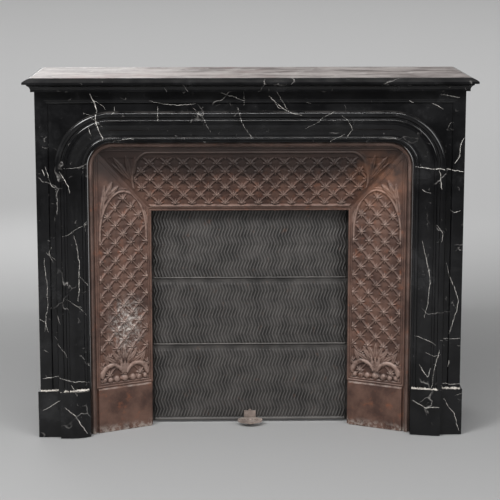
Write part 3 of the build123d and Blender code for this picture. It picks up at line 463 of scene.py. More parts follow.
@dataclass(frozen=True)
class BlackMarble(Finish):
    """Polished black marble with white and grey veins, dulled by age."""

    worn_top: bool = False

    def build(self, fx: Effects) -> Material:
        """Builds the material.

        Args:
            fx: The shared effects.

        Returns:
            The material.
        """
        m, t, shader, point = self.start(0.2)
        shader.inputs["Specular IOR Level"].default_value = 0.33
        big = self.place(t, fx.veins, {"Point": point, "Scale": 6.5, "Width": 0.016, "Amount": 0.43})
        small = self.place(
            t, fx.veins,
            {"Point": t.vector("ADD", point, (3.1, 1.7, 5.3)), "Scale": 31.0, "Width": 0.03, "Amount": 0.37},
        )
        grain = self.place(t, fx.grain, {"Point": point, "Fine": 700.0, "Broad": 11.0})
        white = t.calc("MAXIMUM", t.times(big.outputs["Vein"], 0.42), t.times(small.outputs["Vein"], 0.32))
        broken = t.rise(t.noise(point, 160.0, 3.0), 0.28, 0.55)
        white = t.times(white, broken)
        ground = t.blend(t.rise(grain.outputs["Broad"], 0.35, 0.7), tone(6, 6, 7), tone(19, 19, 20))
        ground = t.blend(t.times(big.outputs["Cloud"], 0.3), ground, tone(58, 58, 59))
        colour = t.blend(t.times(white, 0.85), ground, tone(188, 184, 180))
        level = 0.06 if self.worn_top else 0.3
        dust = self.place(t, fx.dust, {"Point": point, "Level": level, "Scale": 30.0})
        # Painted shade: the stone is darkened where it folds in on itself.
        crease_shading = self.place(t, fx.hollows, {"Reach": 0.012})
        colour = t.blend(t.times(crease_shading.outputs["Mask"], 0.5), colour, tone(14, 14, 14))
        colour = t.blend(t.times(dust.outputs["Mask"], 0.7), colour, tone(120, 116, 112))
        rough = t.plus(0.06, t.times(grain.outputs["Broad"], 0.12))
        if self.worn_top:
            colour, rough = self._worn(t, point, colour, rough)
        t.put(shader.inputs["Base Color"], colour)
        t.put(shader.inputs["Roughness"], rough)
        self.bump(t, shader, grain.outputs["Broad"], 0.0004)
        return m

    def _worn(self, t: Tree, point: object, colour: object, rough: object) -> tuple[object, object]:
        """Lays the shelf's worn and dusty top over the polished stone.

        Args:
            t: The material's tree.
            point: The Object coordinates.
            colour: The stone's colour.
            rough: The stone's roughness.

        Returns:
            The new colour and roughness.
        """
        up = t.part(t.add("ShaderNodeNewGeometry").outputs["Normal"], "Z")
        level = t.part(point, "Z")
        top = t.times(t.rise(up, 0.95, 0.99), t.rise(level, 1.0835, 1.0845))
        long = t.vector("MULTIPLY", point, (1.0, 2.1, 1.0))
        streak = t.noise(long, 5.5, 9.0, 0.72)
        bare = t.blend(t.rise(streak, 0.34, 0.62), tone(82, 74, 72), tone(158, 151, 148))
        bare = t.blend(t.rise(t.noise(point, 17.0, 8.0, 0.75), 0.53, 0.72), bare, tone(178, 173, 170))
        bare = t.blend(t.rise(t.noise(point, 3.1, 6.0, 0.6), 0.54, 0.72), bare, tone(112, 91, 87))
        return t.blend(top, colour, bare), t.plus(rough, t.times(top, 0.42))


@dataclass(frozen=True)
class RustyCasting(Finish):
    """Cast iron gone brown, with pale worn high spots, painted shade where the surface folds in, and soot with
    painted shadow near the top.
    """

    deep: Triple = (58, 38, 31)
    body: Triple = (98, 72, 61)
    pale: Triple = (142, 120, 110)
    # Height above which soot and painted shadow from the marble darken the iron.
    shadow_soot_above: float = 0.765
    stain: bool = True

    def build(self, fx: Effects) -> Material:
        """Builds the material.

        Args:
            fx: The shared effects.

        Returns:
            The material.
        """
        m, t, shader, point = self.start(0.55, 0.25)
        grain = self.place(t, fx.grain, {"Point": point, "Fine": 520.0, "Broad": 14.0})
        colour = t.blend(t.rise(grain.outputs["Broad"], 0.3, 0.68), tone(*self.deep), tone(*self.body))
        rust = t.rise(t.noise(point, 33.0, 5.0, 0.7), 0.55, 0.72)
        colour = t.blend(t.times(rust, 0.55), colour, tone(124, 74, 50))
        relief = t.add("ShaderNodeAttribute", attribute_name="relief").outputs["Fac"]
        rubbed = t.times(t.rise(relief, 0.34, 0.8), t.rise(t.noise(point, 60.0, 4.0), 0.26, 0.55))
        colour = t.blend(t.times(rubbed, 0.75), colour, tone(*self.pale))
        # Painted shade: the iron is darkened where it folds in on itself.
        crease_shading = self.place(t, fx.hollows, {"Reach": 0.008})
        colour = t.blend(t.times(crease_shading.outputs["Mask"], 0.7), colour, tone(30, 21, 18))
        # Soot and painted shadow: the iron darkens towards the top, under the marble lintel.
        level = t.part(point, "Z")
        wander = t.plus(level, t.times(t.noise(point, 16.0), 0.06))
        soot_and_shadow = t.rise(wander, self.shadow_soot_above, self.shadow_soot_above + 0.08)
        colour = t.blend(t.times(soot_and_shadow, 0.88), colour, tone(32, 22, 19))
        ash = t.times(t.rise(level, 0.03, 0.0), t.rise(t.noise(point, 70.0, 5.0, 0.7), 0.42, 0.6))
        colour = t.blend(t.times(ash, 0.62), colour, tone(168, 160, 152))
        if self.stain:
            away = t.vector("MULTIPLY", t.vector("SUBTRACT", point, (0.375, 0.0, 0.765)), (1.0, 0.0, 1.0))
            near = t.rise(t.vector("LENGTH", away), 0.13, 0.03)
            orange = t.times(near, t.rise(t.noise(point, 24.0, 4.0), 0.34, 0.6))
            colour = t.blend(t.times(orange, 0.42), colour, tone(128, 86, 62))
            spot = t.vector("MULTIPLY", t.vector("SUBTRACT", point, (-0.375, 0.0, 0.33)), (1.0, 0.0, 0.6))
            near = t.rise(t.vector("LENGTH", spot), 0.07, 0.01)
            lime = t.times(near, t.rise(t.noise(point, 85.0, 7.0, 0.78), 0.44, 0.62))
            colour = t.blend(t.times(lime, 0.7), colour, tone(196, 190, 184))
        dust = self.place(t, fx.dust, {"Point": point, "Level": 0.6, "Scale": 45.0})
        colour = t.blend(dust.outputs["Mask"], colour, tone(160, 148, 140))
        t.put(shader.inputs["Base Color"], colour)
        t.put(shader.inputs["Roughness"], t.plus(0.38, t.times(grain.outputs["Fine"], 0.3)))
        self.bump(t, shader, t.plus(grain.outputs["Fine"], grain.outputs["Broad"]), 0.0009)
        return m


@dataclass(frozen=True)
class OldMetal(Finish):
    """A dull metal with grain, stains, painted shade where the surface folds in, and dust."""

    dark: Triple = (52, 50, 48)
    light: Triple = (112, 108, 104)
    metallic: float = 0.6
    roughness: float = 0.4

    def build(self, fx: Effects) -> Material:
        """Builds the material.

        Args:
            fx: The shared effects.

        Returns:
            The material.
        """
        m, t, shader, point = self.start(self.roughness, self.metallic)
        grain = self.place(t, fx.grain, {"Point": point, "Fine": 650.0, "Broad": 16.0})
        colour = t.blend(t.rise(grain.outputs["Broad"], 0.28, 0.72), tone(*self.dark), tone(*self.light))
        relief = t.add("ShaderNodeAttribute", attribute_name="relief").outputs["Fac"]
        rubbed = tone(*[min(255, c + 42) for c in self.light])
        colour = t.blend(t.times(t.rise(relief, 0.55, 1.0), 0.45), colour, rubbed)
        rust = t.rise(t.noise(point, 42.0, 5.0, 0.7), 0.6, 0.74)
        colour = t.blend(t.times(rust, 0.35), colour, tone(104, 72, 56))
        # Painted shade: the metal is darkened where it folds in on itself.
        crease_shading = self.place(t, fx.hollows, {"Reach": 0.006})
        colour = t.blend(t.times(crease_shading.outputs["Mask"], 0.6), colour, tone(20, 18, 17))
        dust = self.place(t, fx.dust, {"Point": point, "Level": 0.4, "Scale": 60.0})
        colour = t.blend(dust.outputs["Mask"], colour, tone(150, 144, 138))
        t.put(shader.inputs["Base Color"], colour)
        t.put(shader.inputs["Roughness"], t.plus(self.roughness - 0.1, t.times(grain.outputs["Broad"], 0.3)))
        self.bump(t, shader, grain.outputs["Fine"], 0.0003)
        return m


@dataclass(frozen=True)
class Mineral(Finish):
    """A pale mineral mottled between two tones: old lime mortar, or the calcite of a vein."""

    dark: Triple = (132, 126, 119)
    light: Triple = (206, 200, 192)
    mottle: Pair = (0.3, 0.7)
    roughness: float = 0.9
    fine: float = 400.0
    broad: float = 90.0
    depth: float = 0.0008

    def build(self, fx: Effects) -> Material:
        """Builds the material.

        Args:
            fx: The shared effects.

        Returns:
            The material.
        """
        m, t, shader, point = self.start(self.roughness)
        grain = self.place(t, fx.grain, {"Point": point, "Fine": self.fine, "Broad": self.broad})
        share = t.rise(grain.outputs["Broad"], *self.mottle)
        t.put(shader.inputs["Base Color"], t.blend(share, tone(*self.dark), tone(*self.light)))
        self.bump(t, shader, grain.outputs["Fine"], self.depth)
        return m


@dataclass(frozen=True)
class Finishes:
    """All the materials, by what they are used on."""

    marble: Material
    shelf: Material
    casting: Material
    bead: Material
    leaf: Material
    handle: Material
    steel: Material
    wrought: Material
    brass: Material
    weight: Material
    mortar: Material
    vein: Material


def make_finishes() -> Finishes:
    """Builds the shared effects and every material.

    Returns:
        The materials.
    """
    fx = Effects()
    metals = {
        "leaf": ("sheet_iron", (34, 33, 32), (70, 67, 65), 0.35, 0.46),
        "handle": ("handle_iron", (112, 100, 94), (166, 152, 144), 0.35),
        "steel": ("dull_steel", (84, 82, 80), (150, 147, 143), 0.9, 0.35),
        "wrought": ("wrought_iron", (34, 31, 29), (70, 63, 58), 0.4, 0.55),
        "brass": ("old_brass", (112, 84, 40), (176, 142, 80), 0.9, 0.34),
        "weight": ("weight_iron", (38, 34, 32), (76, 66, 60), 0.3, 0.6),
    }
    return Finishes(
        marble=BlackMarble("black_marble").build(fx),
        shelf=BlackMarble("shelf_marble", worn_top=True).build(fx),
        casting=RustyCasting("rusty_casting").build(fx),
        bead=RustyCasting(
            "bead_casting", deep=(66, 50, 44), body=(104, 84, 76), pale=(160, 138, 128), shadow_soot_above=2.0,
            stain=False,
        ).build(fx),
        mortar=Mineral("lime_mortar").build(fx),
        vein=Mineral(
            "white_vein", (84, 82, 81), (190, 186, 180), (0.32, 0.62), roughness=0.3, fine=500.0, broad=120.0,
            depth=0.0003,
        ).build(fx),
        **{use: OldMetal(*look).build(fx) for use, look in metals.items()},
    )


def mesh_object(name: str, points: Array, faces: list, material: Material) -> Piece:
    """Makes a smooth-shaded mesh piece in its place.

    Args:
        name: The piece's name.
        points: Its corner points in metres.
        faces: Its faces, as corner numbers.
        material: Its finish.

    Returns:
        The piece.
    """
    mesh = bpy.data.meshes.new(name)
    mesh.from_pydata(points.tolist(), [], faces)
    mesh.materials.append(material)
    mesh.polygons.foreach_set("use_smooth", [True] * len(mesh.polygons))
    mesh.update()
    piece = bpy.data.objects.new(name, mesh)
    bpy.context.scene.collection.objects.link(piece)
    return piece


def store(piece: Piece, name: str, values: Array) -> None:
    """Keeps a number on every point of a piece.

    Args:
        piece: The piece.
        name: The attribute's name.
        values: One number for each point.
    """
    attribute = piece.data.attributes.new(name, "FLOAT", "POINT")
    attribute.data.foreach_set("value", values.astype(np.float32).ravel())


def open_geometry(name: str, inputs: dict[str, object]) -> tuple[Tree, dict, Node]:
    """Starts a Geometry Nodes tree with named sizes.

    Args:
        name: The tree's name.
        inputs: Default values by name, a material among them.

    Returns:
        The tree, its inputs by name and its output node.
    """
    group = bpy.data.node_groups.new(name, "GeometryNodeTree")
    group.interface.new_socket(name="Geometry", in_out="INPUT", socket_type="NodeSocketGeometry")
    for key, value in inputs.items():
        if value is None:
            group.interface.new_socket(name=key, in_out="INPUT", socket_type="NodeSocketMaterial")
        else:
            made = group.interface.new_socket(name=key, in_out="INPUT", socket_type=socket_kind(value))
            made.default_value = value
    group.interface.new_socket(name="Geometry", in_out="OUTPUT", socket_type="NodeSocketGeometry")
    tree = Tree(group)
    entry, leave = tree.add("NodeGroupInput"), tree.add("NodeGroupOutput")
    return tree, {s.name: s for s in entry.outputs if s.name}, leave


def close_geometry(t: Tree, geometry: object, material: object, leave: Node) -> NodeTree:
    """Ends a Geometry Nodes tree in Realize Instances and Set Material.

    Args:
        t: The tree.
        geometry: What it has made.
        material: The material socket.
        leave: The output node.

    Returns:
        The finished tree.
    """
    real = t.add("GeometryNodeRealizeInstances", {0: geometry})
    dressed = t.add("GeometryNodeSetMaterial", {"Geometry": real.outputs[0], "Material": material})
    t.put(leave.inputs[0], dressed.outputs[0])
    return t.tree


def run_tree(piece: Piece, tree: NodeTree, values: dict[str, object]) -> None:
    """Runs a tree on a piece and keeps the result as its plain mesh.

    Args:
        piece: The piece.
        tree: The Geometry Nodes tree.
        values: Its sizes by name.
    """
    modifier = piece.modifiers.new(tree.name, "NODES")
    modifier.node_group = tree
    for item in tree.interface.items_tree:
        if item.in_out == "INPUT" and item.name in values:
            modifier[item.identifier] = values[item.name]
    settle(piece)


def settle(piece: Piece) -> None:
    """Turns a piece's modifiers into its plain mesh.

    Args:
        piece: The piece.
    """
    graph = bpy.context.evaluated_depsgraph_get()
    made = bpy.data.meshes.new_from_object(piece.evaluated_get(graph), depsgraph=graph)
    made.name = piece.name
    piece.modifiers.clear()
    old, piece.data = piece.data, made
    bpy.data.meshes.remove(old)


def raise_relief(t: Tree, i: dict, push: object, share: object, leave: Node) -> NodeTree:
    """Moves the points, keeps how far as their relief, and ends the tree.

    Args:
        t: The tree.
        i: Its inputs by name.
        push: How far each point moves.
        share: The same as a share of the full height.
        leave: The output node.

    Returns:
        The finished tree.
    """
    moved = t.add("GeometryNodeSetPosition", {"Geometry": i["Geometry"], "Offset": push})
    values = {"Geometry": moved.outputs[0], "Name": "relief", "Value": share}
    kept = t.add("GeometryNodeStoreNamedAttribute", values, data_type="FLOAT", domain="POINT")
    return close_geometry(t, kept.outputs[0], i["Material"], leave)


def trellis_tree() -> NodeTree:
    """Raises a rounded trellis with a flower at each crossing out of a plate.

    Returns:
        The tree.
    """
    t, i, leave = open_geometry(
        "Flowered trellis",
        {
            "Facing": (0.0, -1.0, 0.0), "Pitch": 0.05, "Rise": 0.054, "Rib": 0.0036, "Rib Height": 0.0037,
            "Flower": 0.0140, "Flower Height": 0.0058, "Petals": 8.0, "Material": None,
        },
    )
    across = t.calc("DIVIDE", t.kept("across"), i["Pitch"])
    up = t.calc("DIVIDE", t.kept("up"), i["Rise"])
    first, second = t.plus(across, up), t.minus(across, up)
    off_a = t.minus(first, t.calc("ROUND", first))
    off_b = t.minus(second, t.calc("ROUND", second))
    nearest = t.calc("MINIMUM", t.calc("ABSOLUTE", off_a), t.calc("ABSOLUTE", off_b))
    gap = t.times(nearest, t.times(i["Pitch"], RIB_SLANT))
    share = t.calc("DIVIDE", gap, i["Rib"], clamp=True)
    rib = t.times(i["Rib Height"], t.minus(1.0, t.times(share, share)))
    du = t.times(t.plus(off_a, off_b), t.times(i["Pitch"], 0.5))
    dv = t.times(t.minus(off_a, off_b), t.times(i["Rise"], 0.5))
    radius = t.calc("SQRT", t.plus(t.times(du, du), t.times(dv, dv)))
    turn = t.times(t.calc("ARCTAN2", dv, du), t.times(i["Petals"], 0.5))
    lobe = t.calc("ABSOLUTE", t.calc("COSINE", turn))
    reach = t.times(i["Flower"], t.plus(0.42, t.times(lobe, 0.58)))
    inside = t.calc("DIVIDE", radius, reach, clamp=True)
    bulge = t.calc("SQRT", t.minus(1.0, t.times(inside, inside)))
    cut = t.plus(0.45, t.times(lobe, 0.55))
    petal = t.times(i["Flower Height"], t.times(bulge, cut))
    core = t.times(0.0018, t.rise(radius, 0.0036, 0.0016))
    flower = t.plus(petal, core)
    pillow = t.times(0.0009, t.rise(gap, 0.004, 0.016))
    pattern = t.plus(pillow, t.calc("MAXIMUM", rib, flower))
    height = t.plus(t.times(pattern, t.kept("field")), t.kept("raised"))
    push = t.add("ShaderNodeVectorMath", {0: i["Facing"], "Scale": height}, operation="SCALE").outputs[0]
    return raise_relief(t, i, push, t.calc("DIVIDE", height, RELIEF_FULL), leave)


def chevron_tree() -> NodeTree:
    """Presses rounded upright waves that zigzag from row to row into a sheet.

    Returns:
        The tree.
    """
    t, i, leave = open_geometry(
        "Pressed chevrons",
        {"Pitch": 0.0098, "Run": 0.0275, "Sway": 0.0094, "Depth": 0.0034, "Base": 0.015, "Material": None},
    )
    place = t.add("ShaderNodeSeparateXYZ", {0: t.add("GeometryNodeInputPosition").outputs[0]})
    row = t.calc("DIVIDE", t.minus(place.outputs["Z"], i["Base"]), i["Run"])
    lean = t.times(i["Sway"], t.calc("PINGPONG", row, 1.0))
    phase = t.calc("DIVIDE", t.minus(place.outputs["X"], lean), i["Pitch"])
    wave = t.calc("COSINE", t.times(phase, 2 * math.pi))
    share = t.plus(0.5, t.times(wave, 0.5))
    height = t.plus(t.times(t.times(share, i["Depth"]), t.kept("field")), t.kept("raised"))
    push = t.add("ShaderNodeCombineXYZ", {"Y": t.times(height, -1.0)}).outputs[0]
    return raise_relief(t, i, push, t.calc("DIVIDE", height, i["Depth"]), leave)


def rope_tree() -> NodeTree:
    """Twists six wires into a rope along the upright.

    Returns:
        The tree.
    """
    t, i, leave = open_geometry(
        "Wire rope", {"Foot": (0.0, 0.0, 0.0), "Length": 0.7, "Radius": 0.0015, "Lay": 0.02, "Material": None}
    )
    wire = t.times(i["Radius"], 0.36)
    orbit = t.minus(i["Radius"], wire)
    spiral = t.add(
        "GeometryNodeCurveSpiral",
        {"Resolution": 8, "Start Radius": orbit, "End Radius": orbit, "Height": i["Length"],
         "Rotations": t.calc("DIVIDE", i["Length"], i["Lay"])},
    )
    ring = t.add("GeometryNodeCurvePrimitiveCircle", {"Resolution": 5, "Radius": wire})
    strand = t.add(
        "GeometryNodeCurveToMesh",
        {"Curve": spiral.outputs[0], "Profile Curve": ring.outputs[0], "Fill Caps": True},
    )
    joined = t.add("GeometryNodeJoinGeometry")
    for number in range(6):
        turn = (0.0, 0.0, number * math.pi / 3)
        turned = t.add(
            "GeometryNodeTransform", {"Geometry": strand.outputs[0], "Translation": i["Foot"], "Rotation": turn}
        )
        t.tree.links.new(turned.outputs[0], joined.inputs[0])
    return close_geometry(t, joined.outputs[0], i["Material"], leave)


def bead_tree() -> NodeTree:
    """Sets a row of small beads on a line.

    Returns:
        The tree.
    """
    t, i, leave = open_geometry("Bead row", {"Spacing": 0.004, "Radius": 0.0014, "Material": None})
    line = t.add("GeometryNodeMeshToCurve", {0: i["Geometry"]})
    spaced = {"Curve": line.outputs[0], "Length": i["Spacing"]}
    points = t.add("GeometryNodeCurveToPoints", spaced, mode="LENGTH")
    bead = t.add("GeometryNodeMeshIcoSphere", {"Radius": i["Radius"], "Subdivisions": 2})
    row = t.add("GeometryNodeInstanceOnPoints", {"Points": points.outputs[0], "Instance": bead.outputs[0]})
    return close_geometry(t, row.outputs[0], i["Material"], leave)


def grid_faces(columns: int, rows: int, flip: bool = False) -> list[tuple[int, ...]]:
    """Faces of a grid whose points run along the columns first.

    Args:
        columns: Points in a row.
        rows: Number of rows.
        flip: Whether the faces look the other way.

    Returns:
        The faces.
    """
    faces = []
    for r in range(rows - 1):
        for c in range(columns - 1):
            a = r * columns + c
            face = (a, a + 1, a + columns + 1, a + columns)
            faces.append(face[::-1] if flip else face)
    return faces


def ramp(value: Array, low: float, high: float) -> Array:
    """A smooth step from 0 at low to 1 at high.

    Args:
        value: The measured numbers.
        low: Where the step starts.
        high: Where it ends.

    Returns:
        The mask.
    """
    share = np.clip((value - low) / (high - low), 0, 1)
    return share * share * (3 - 2 * share)


def dome(distance: Array, radius: float, height: float) -> Array:
    """The height of a rounded ridge or knob.

    Args:
        distance: Distance from its middle.
        radius: Its half width.
        height: Its height.

    Returns:
        The height, 0 outside it.
    """
    return height * np.sqrt(np.clip(1 - (distance / radius) ** 2, 0, 1))


def leaf_ridge(
    x: Array, y: Array, foot: Pair, angle: float, length: float, half: float, height: float
) -> Array:
    """The height of one pointed leaf with a sunk midrib and notched edges.

    Args:
        x: Place across.
        y: Place up.
        foot: Where the leaf starts.
        angle: Its direction in degrees.
        length: Its length.
        half: Half its width.
        height: Its height.

    Returns:
        The height, 0 outside it.
    """
    cx, cy = math.cos(math.radians(angle)), math.sin(math.radians(angle))
    far = ((x - foot[0]) * cx + (y - foot[1]) * cy) / length
    off = (x - foot[0]) * cy - (y - foot[1]) * cx
    inside = np.clip(far, 0, 1)
    notch = 1 - 0.16 * np.abs(np.sin(inside * math.pi * 5))
    width = half * notch * np.sin(inside**0.75 * math.pi) ** 0.6 + 1e-7
    share = np.clip(np.abs(off) / width, 0, 1)
    rise = height * np.sqrt(1 - share**2) * (0.75 + 0.25 * inside)
    rib = 0.35 * height * np.exp(-((off / (0.16 * half)) ** 2))
    return np.where((far > 0) & (far < 1) & (share < 1), np.maximum(rise - rib, 0), 0)


def curl_ridge(
    x: Array, y: Array, centre: Pair, radius: float, turn: Pair, halves: Pair, height: float
) -> Array:
    """The height of a curled frond that follows an arc and tapers along it.

    Args:
        x: Place across.
        y: Place up.
        centre: The arc's centre.
        radius: Its radius.
        turn: Where it starts and ends, in degrees.
        halves: Half its width at the start and at the end.
        height: Its height.

    Returns:
        The height, 0 outside it.
    """
    dx, dy = x - centre[0], y - centre[1]
    share = ((np.degrees(np.arctan2(dy, dx)) - turn[0]) % 360) / (turn[1] - turn[0])
    width = halves[0] + (halves[1] - halves[0]) * np.clip(share, 0, 1)
    width = width * (1 - 0.14 * np.abs(np.sin(np.clip(share, 0, 1) * math.pi * 6)))
    ends = np.clip(np.minimum(share, 1 - share) * 9, 0, 1) ** 0.5
    off = np.abs(np.hypot(dx, dy) - radius) / (width * ends + 1e-7)
    return np.where((share < 1) & (off < 1), height * np.sqrt(np.clip(1 - off**2, 0, 1)), 0)


def arch_inset(along: Array, across: Array, reach: float, half: float) -> Array:
    """The distance in from an end that is half an ellipse.

    Args:
        along: Place past the ellipse's middle, towards the end.
        across: Place across it.
        reach: How far the ellipse goes along.
        half: Half its width.

    Returns:
        The distance, above 0 inside, and large before the ellipse's middle.
    """
    q = np.hypot(along / reach, across / half)
    slope = np.hypot(along / reach**2, across / half**2) / np.maximum(q, 1e-6)
    return np.where(along < 0, half - np.abs(across), (1 - q) / np.maximum(slope, 1e-6))


@dataclass(frozen=True)
class Panel:
    """What is measured at each grid point of a casting's face.

    Attributes:
        u: Place along the face.
        v: Place up the face.
        edges: Distances to the plain edges.
        mitre: Distance to the mitre.
        extra: Height of the ornament.
        arch: Distance in from the panel's arched end.
    """

    u: Array
    v: Array
    edges: list[Array]
    mitre: Array
    extra: Array
    arch: Array


@dataclass
class CastingFace:
    """One splayed face of the insert, as a skin of relief on its cast plate."""

    name: str
    node: str
    origin: Vector
    along: Vector
    rise: Vector
    facing: Vector
    material: Material
    step: float = 0.0017
    lift: float = 0.0027
    border_lift: float = 0.0002
    knurl: float = 0.006
    rim: float = 0.014
    band: float = 0.011
    corner_x: float = 0.408
    corner_z: float = 0.818
    corner_reach: float = 0.0724

    def shape(self, p: Panel) -> tuple[Array, Array]:
        """Works out what stands out of the skin before the trellis.

        Args:
            p: The face's measures.

        Returns:
            The share of trellis and the raised height.
        """
        edge = np.minimum.reduce(p.edges)
        field = ramp(edge, self.rim, self.rim + 0.002) * ramp(p.mitre, self.band, self.band + 0.002)
        field = field * (1 - ramp(p.extra, 0.0002, 0.0012)) * ramp(p.arch, 0.004, 0.006)
        beads = dome(np.abs(edge - 0.0035), 0.0033, 0.0032) + dome(np.abs(edge - 0.0108), 0.0031, 0.0030)
        hem = dome(np.abs(p.mitre - self.band + 0.0025), 0.0026, 0.0024)
        hem = hem * ramp(edge, self.rim - 0.004, self.rim)
        knurl = 0.7 + 0.3 * np.cos(2 * math.pi * (p.u + p.v) / self.knurl)
        inside = ramp(edge, self.rim - 0.002, self.rim) * ramp(p.mitre, self.band - 0.004, self.band)
        moulding = dome(np.abs(p.arch), 0.0046, 0.0046) + dome(np.abs(p.arch + 0.0072), 0.0024, 0.0026)
        return field, np.maximum.reduce([beads, hem * knurl, p.extra * inside, moulding * inside])

    def build(self, p: Panel, cut: tuple[Vector, Vector], tree: NodeTree, phase: Pair) -> Piece:
        """Builds the skin and raises its relief.

        Args:
            p: The face's measures.
            cut: A point on the mitre plane, and its direction out of this face.
            tree: The trellis tree.
            phase: Where the trellis is centred, along and up.

        Returns:
            The piece.
        """
        rows, columns = p.u.shape
        field, raised = self.shape(p)
        basis = [np.array(v) for v in (self.origin, self.along, self.rise, self.facing)]
        flat = basis[0] + p.u[..., None] * basis[1] + p.v[..., None] * basis[2]
        border = np.zeros((rows, columns), bool)
        border[0, :] = border[-1, :] = border[:, 0] = border[:, -1] = True
        lift = np.where(border, self.border_lift, self.lift)
        field, raised = np.where(border, 0, field), np.where(border, 0, raised)
        top = (flat + lift[..., None] * basis[3]).reshape(-1, 3)
        flip = float(np.dot(np.cross(basis[1], basis[2]), basis[3])) < 0
        piece = mesh_object(self.name, top, grid_faces(columns, rows, flip), self.material)
        kept = {"across": p.u - phase[0], "up": p.v - phase[1], "field": field, "raised": raised}
        for label, values in kept.items():
            store(piece, label, values)
        run_tree(piece, tree, {"Facing": tuple(basis[3]), "Material": self.material})
        self._trim(piece, cut)
        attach(piece, "surround")
        log.info("%s: %d faces", piece.name, len(piece.data.polygons))
        return piece

    def _trim(self, piece: Piece, cut: tuple[Vector, Vector]) -> None:
        """Holds the skin inside the mitre and the rounded corner of the marble.

        Args:
            piece: The skin.
            cut: A point on the mitre plane, and its direction out of this face.
        """
        co = np.empty(len(piece.data.vertices) * 3)
        piece.data.vertices.foreach_get("co", co)
        co = co.reshape(-1, 3)
        for sign in (-1, 1):
            out = np.array([sign * abs(cut[1].x), cut[1].y, cut[1].z])
            start = np.array([sign * abs(cut[0].x), cut[0].y, cut[0].z])
            if self.node != "insert_header" and sign * self.origin.x < 0:
                continue
            past = np.clip((co - start) @ out, 0, None)
            co -= past[:, None] * out
            off_x, off_z = sign * co[:, 0] - self.corner_x, co[:, 2] - self.corner_z
            reach = np.hypot(off_x, off_z)
            far = (off_x > 0) & (off_z > 0) & (reach > self.corner_reach)
            share = np.where(far, self.corner_reach / np.maximum(reach, 1e-9), 1.0)
            co[:, 0] = np.where(far, sign * (self.corner_x + off_x * share), co[:, 0])
            co[:, 2] = np.where(far, self.corner_z + off_z * share, co[:, 2])
        piece.data.vertices.foreach_set("co", co.ravel())
        piece.data.update()


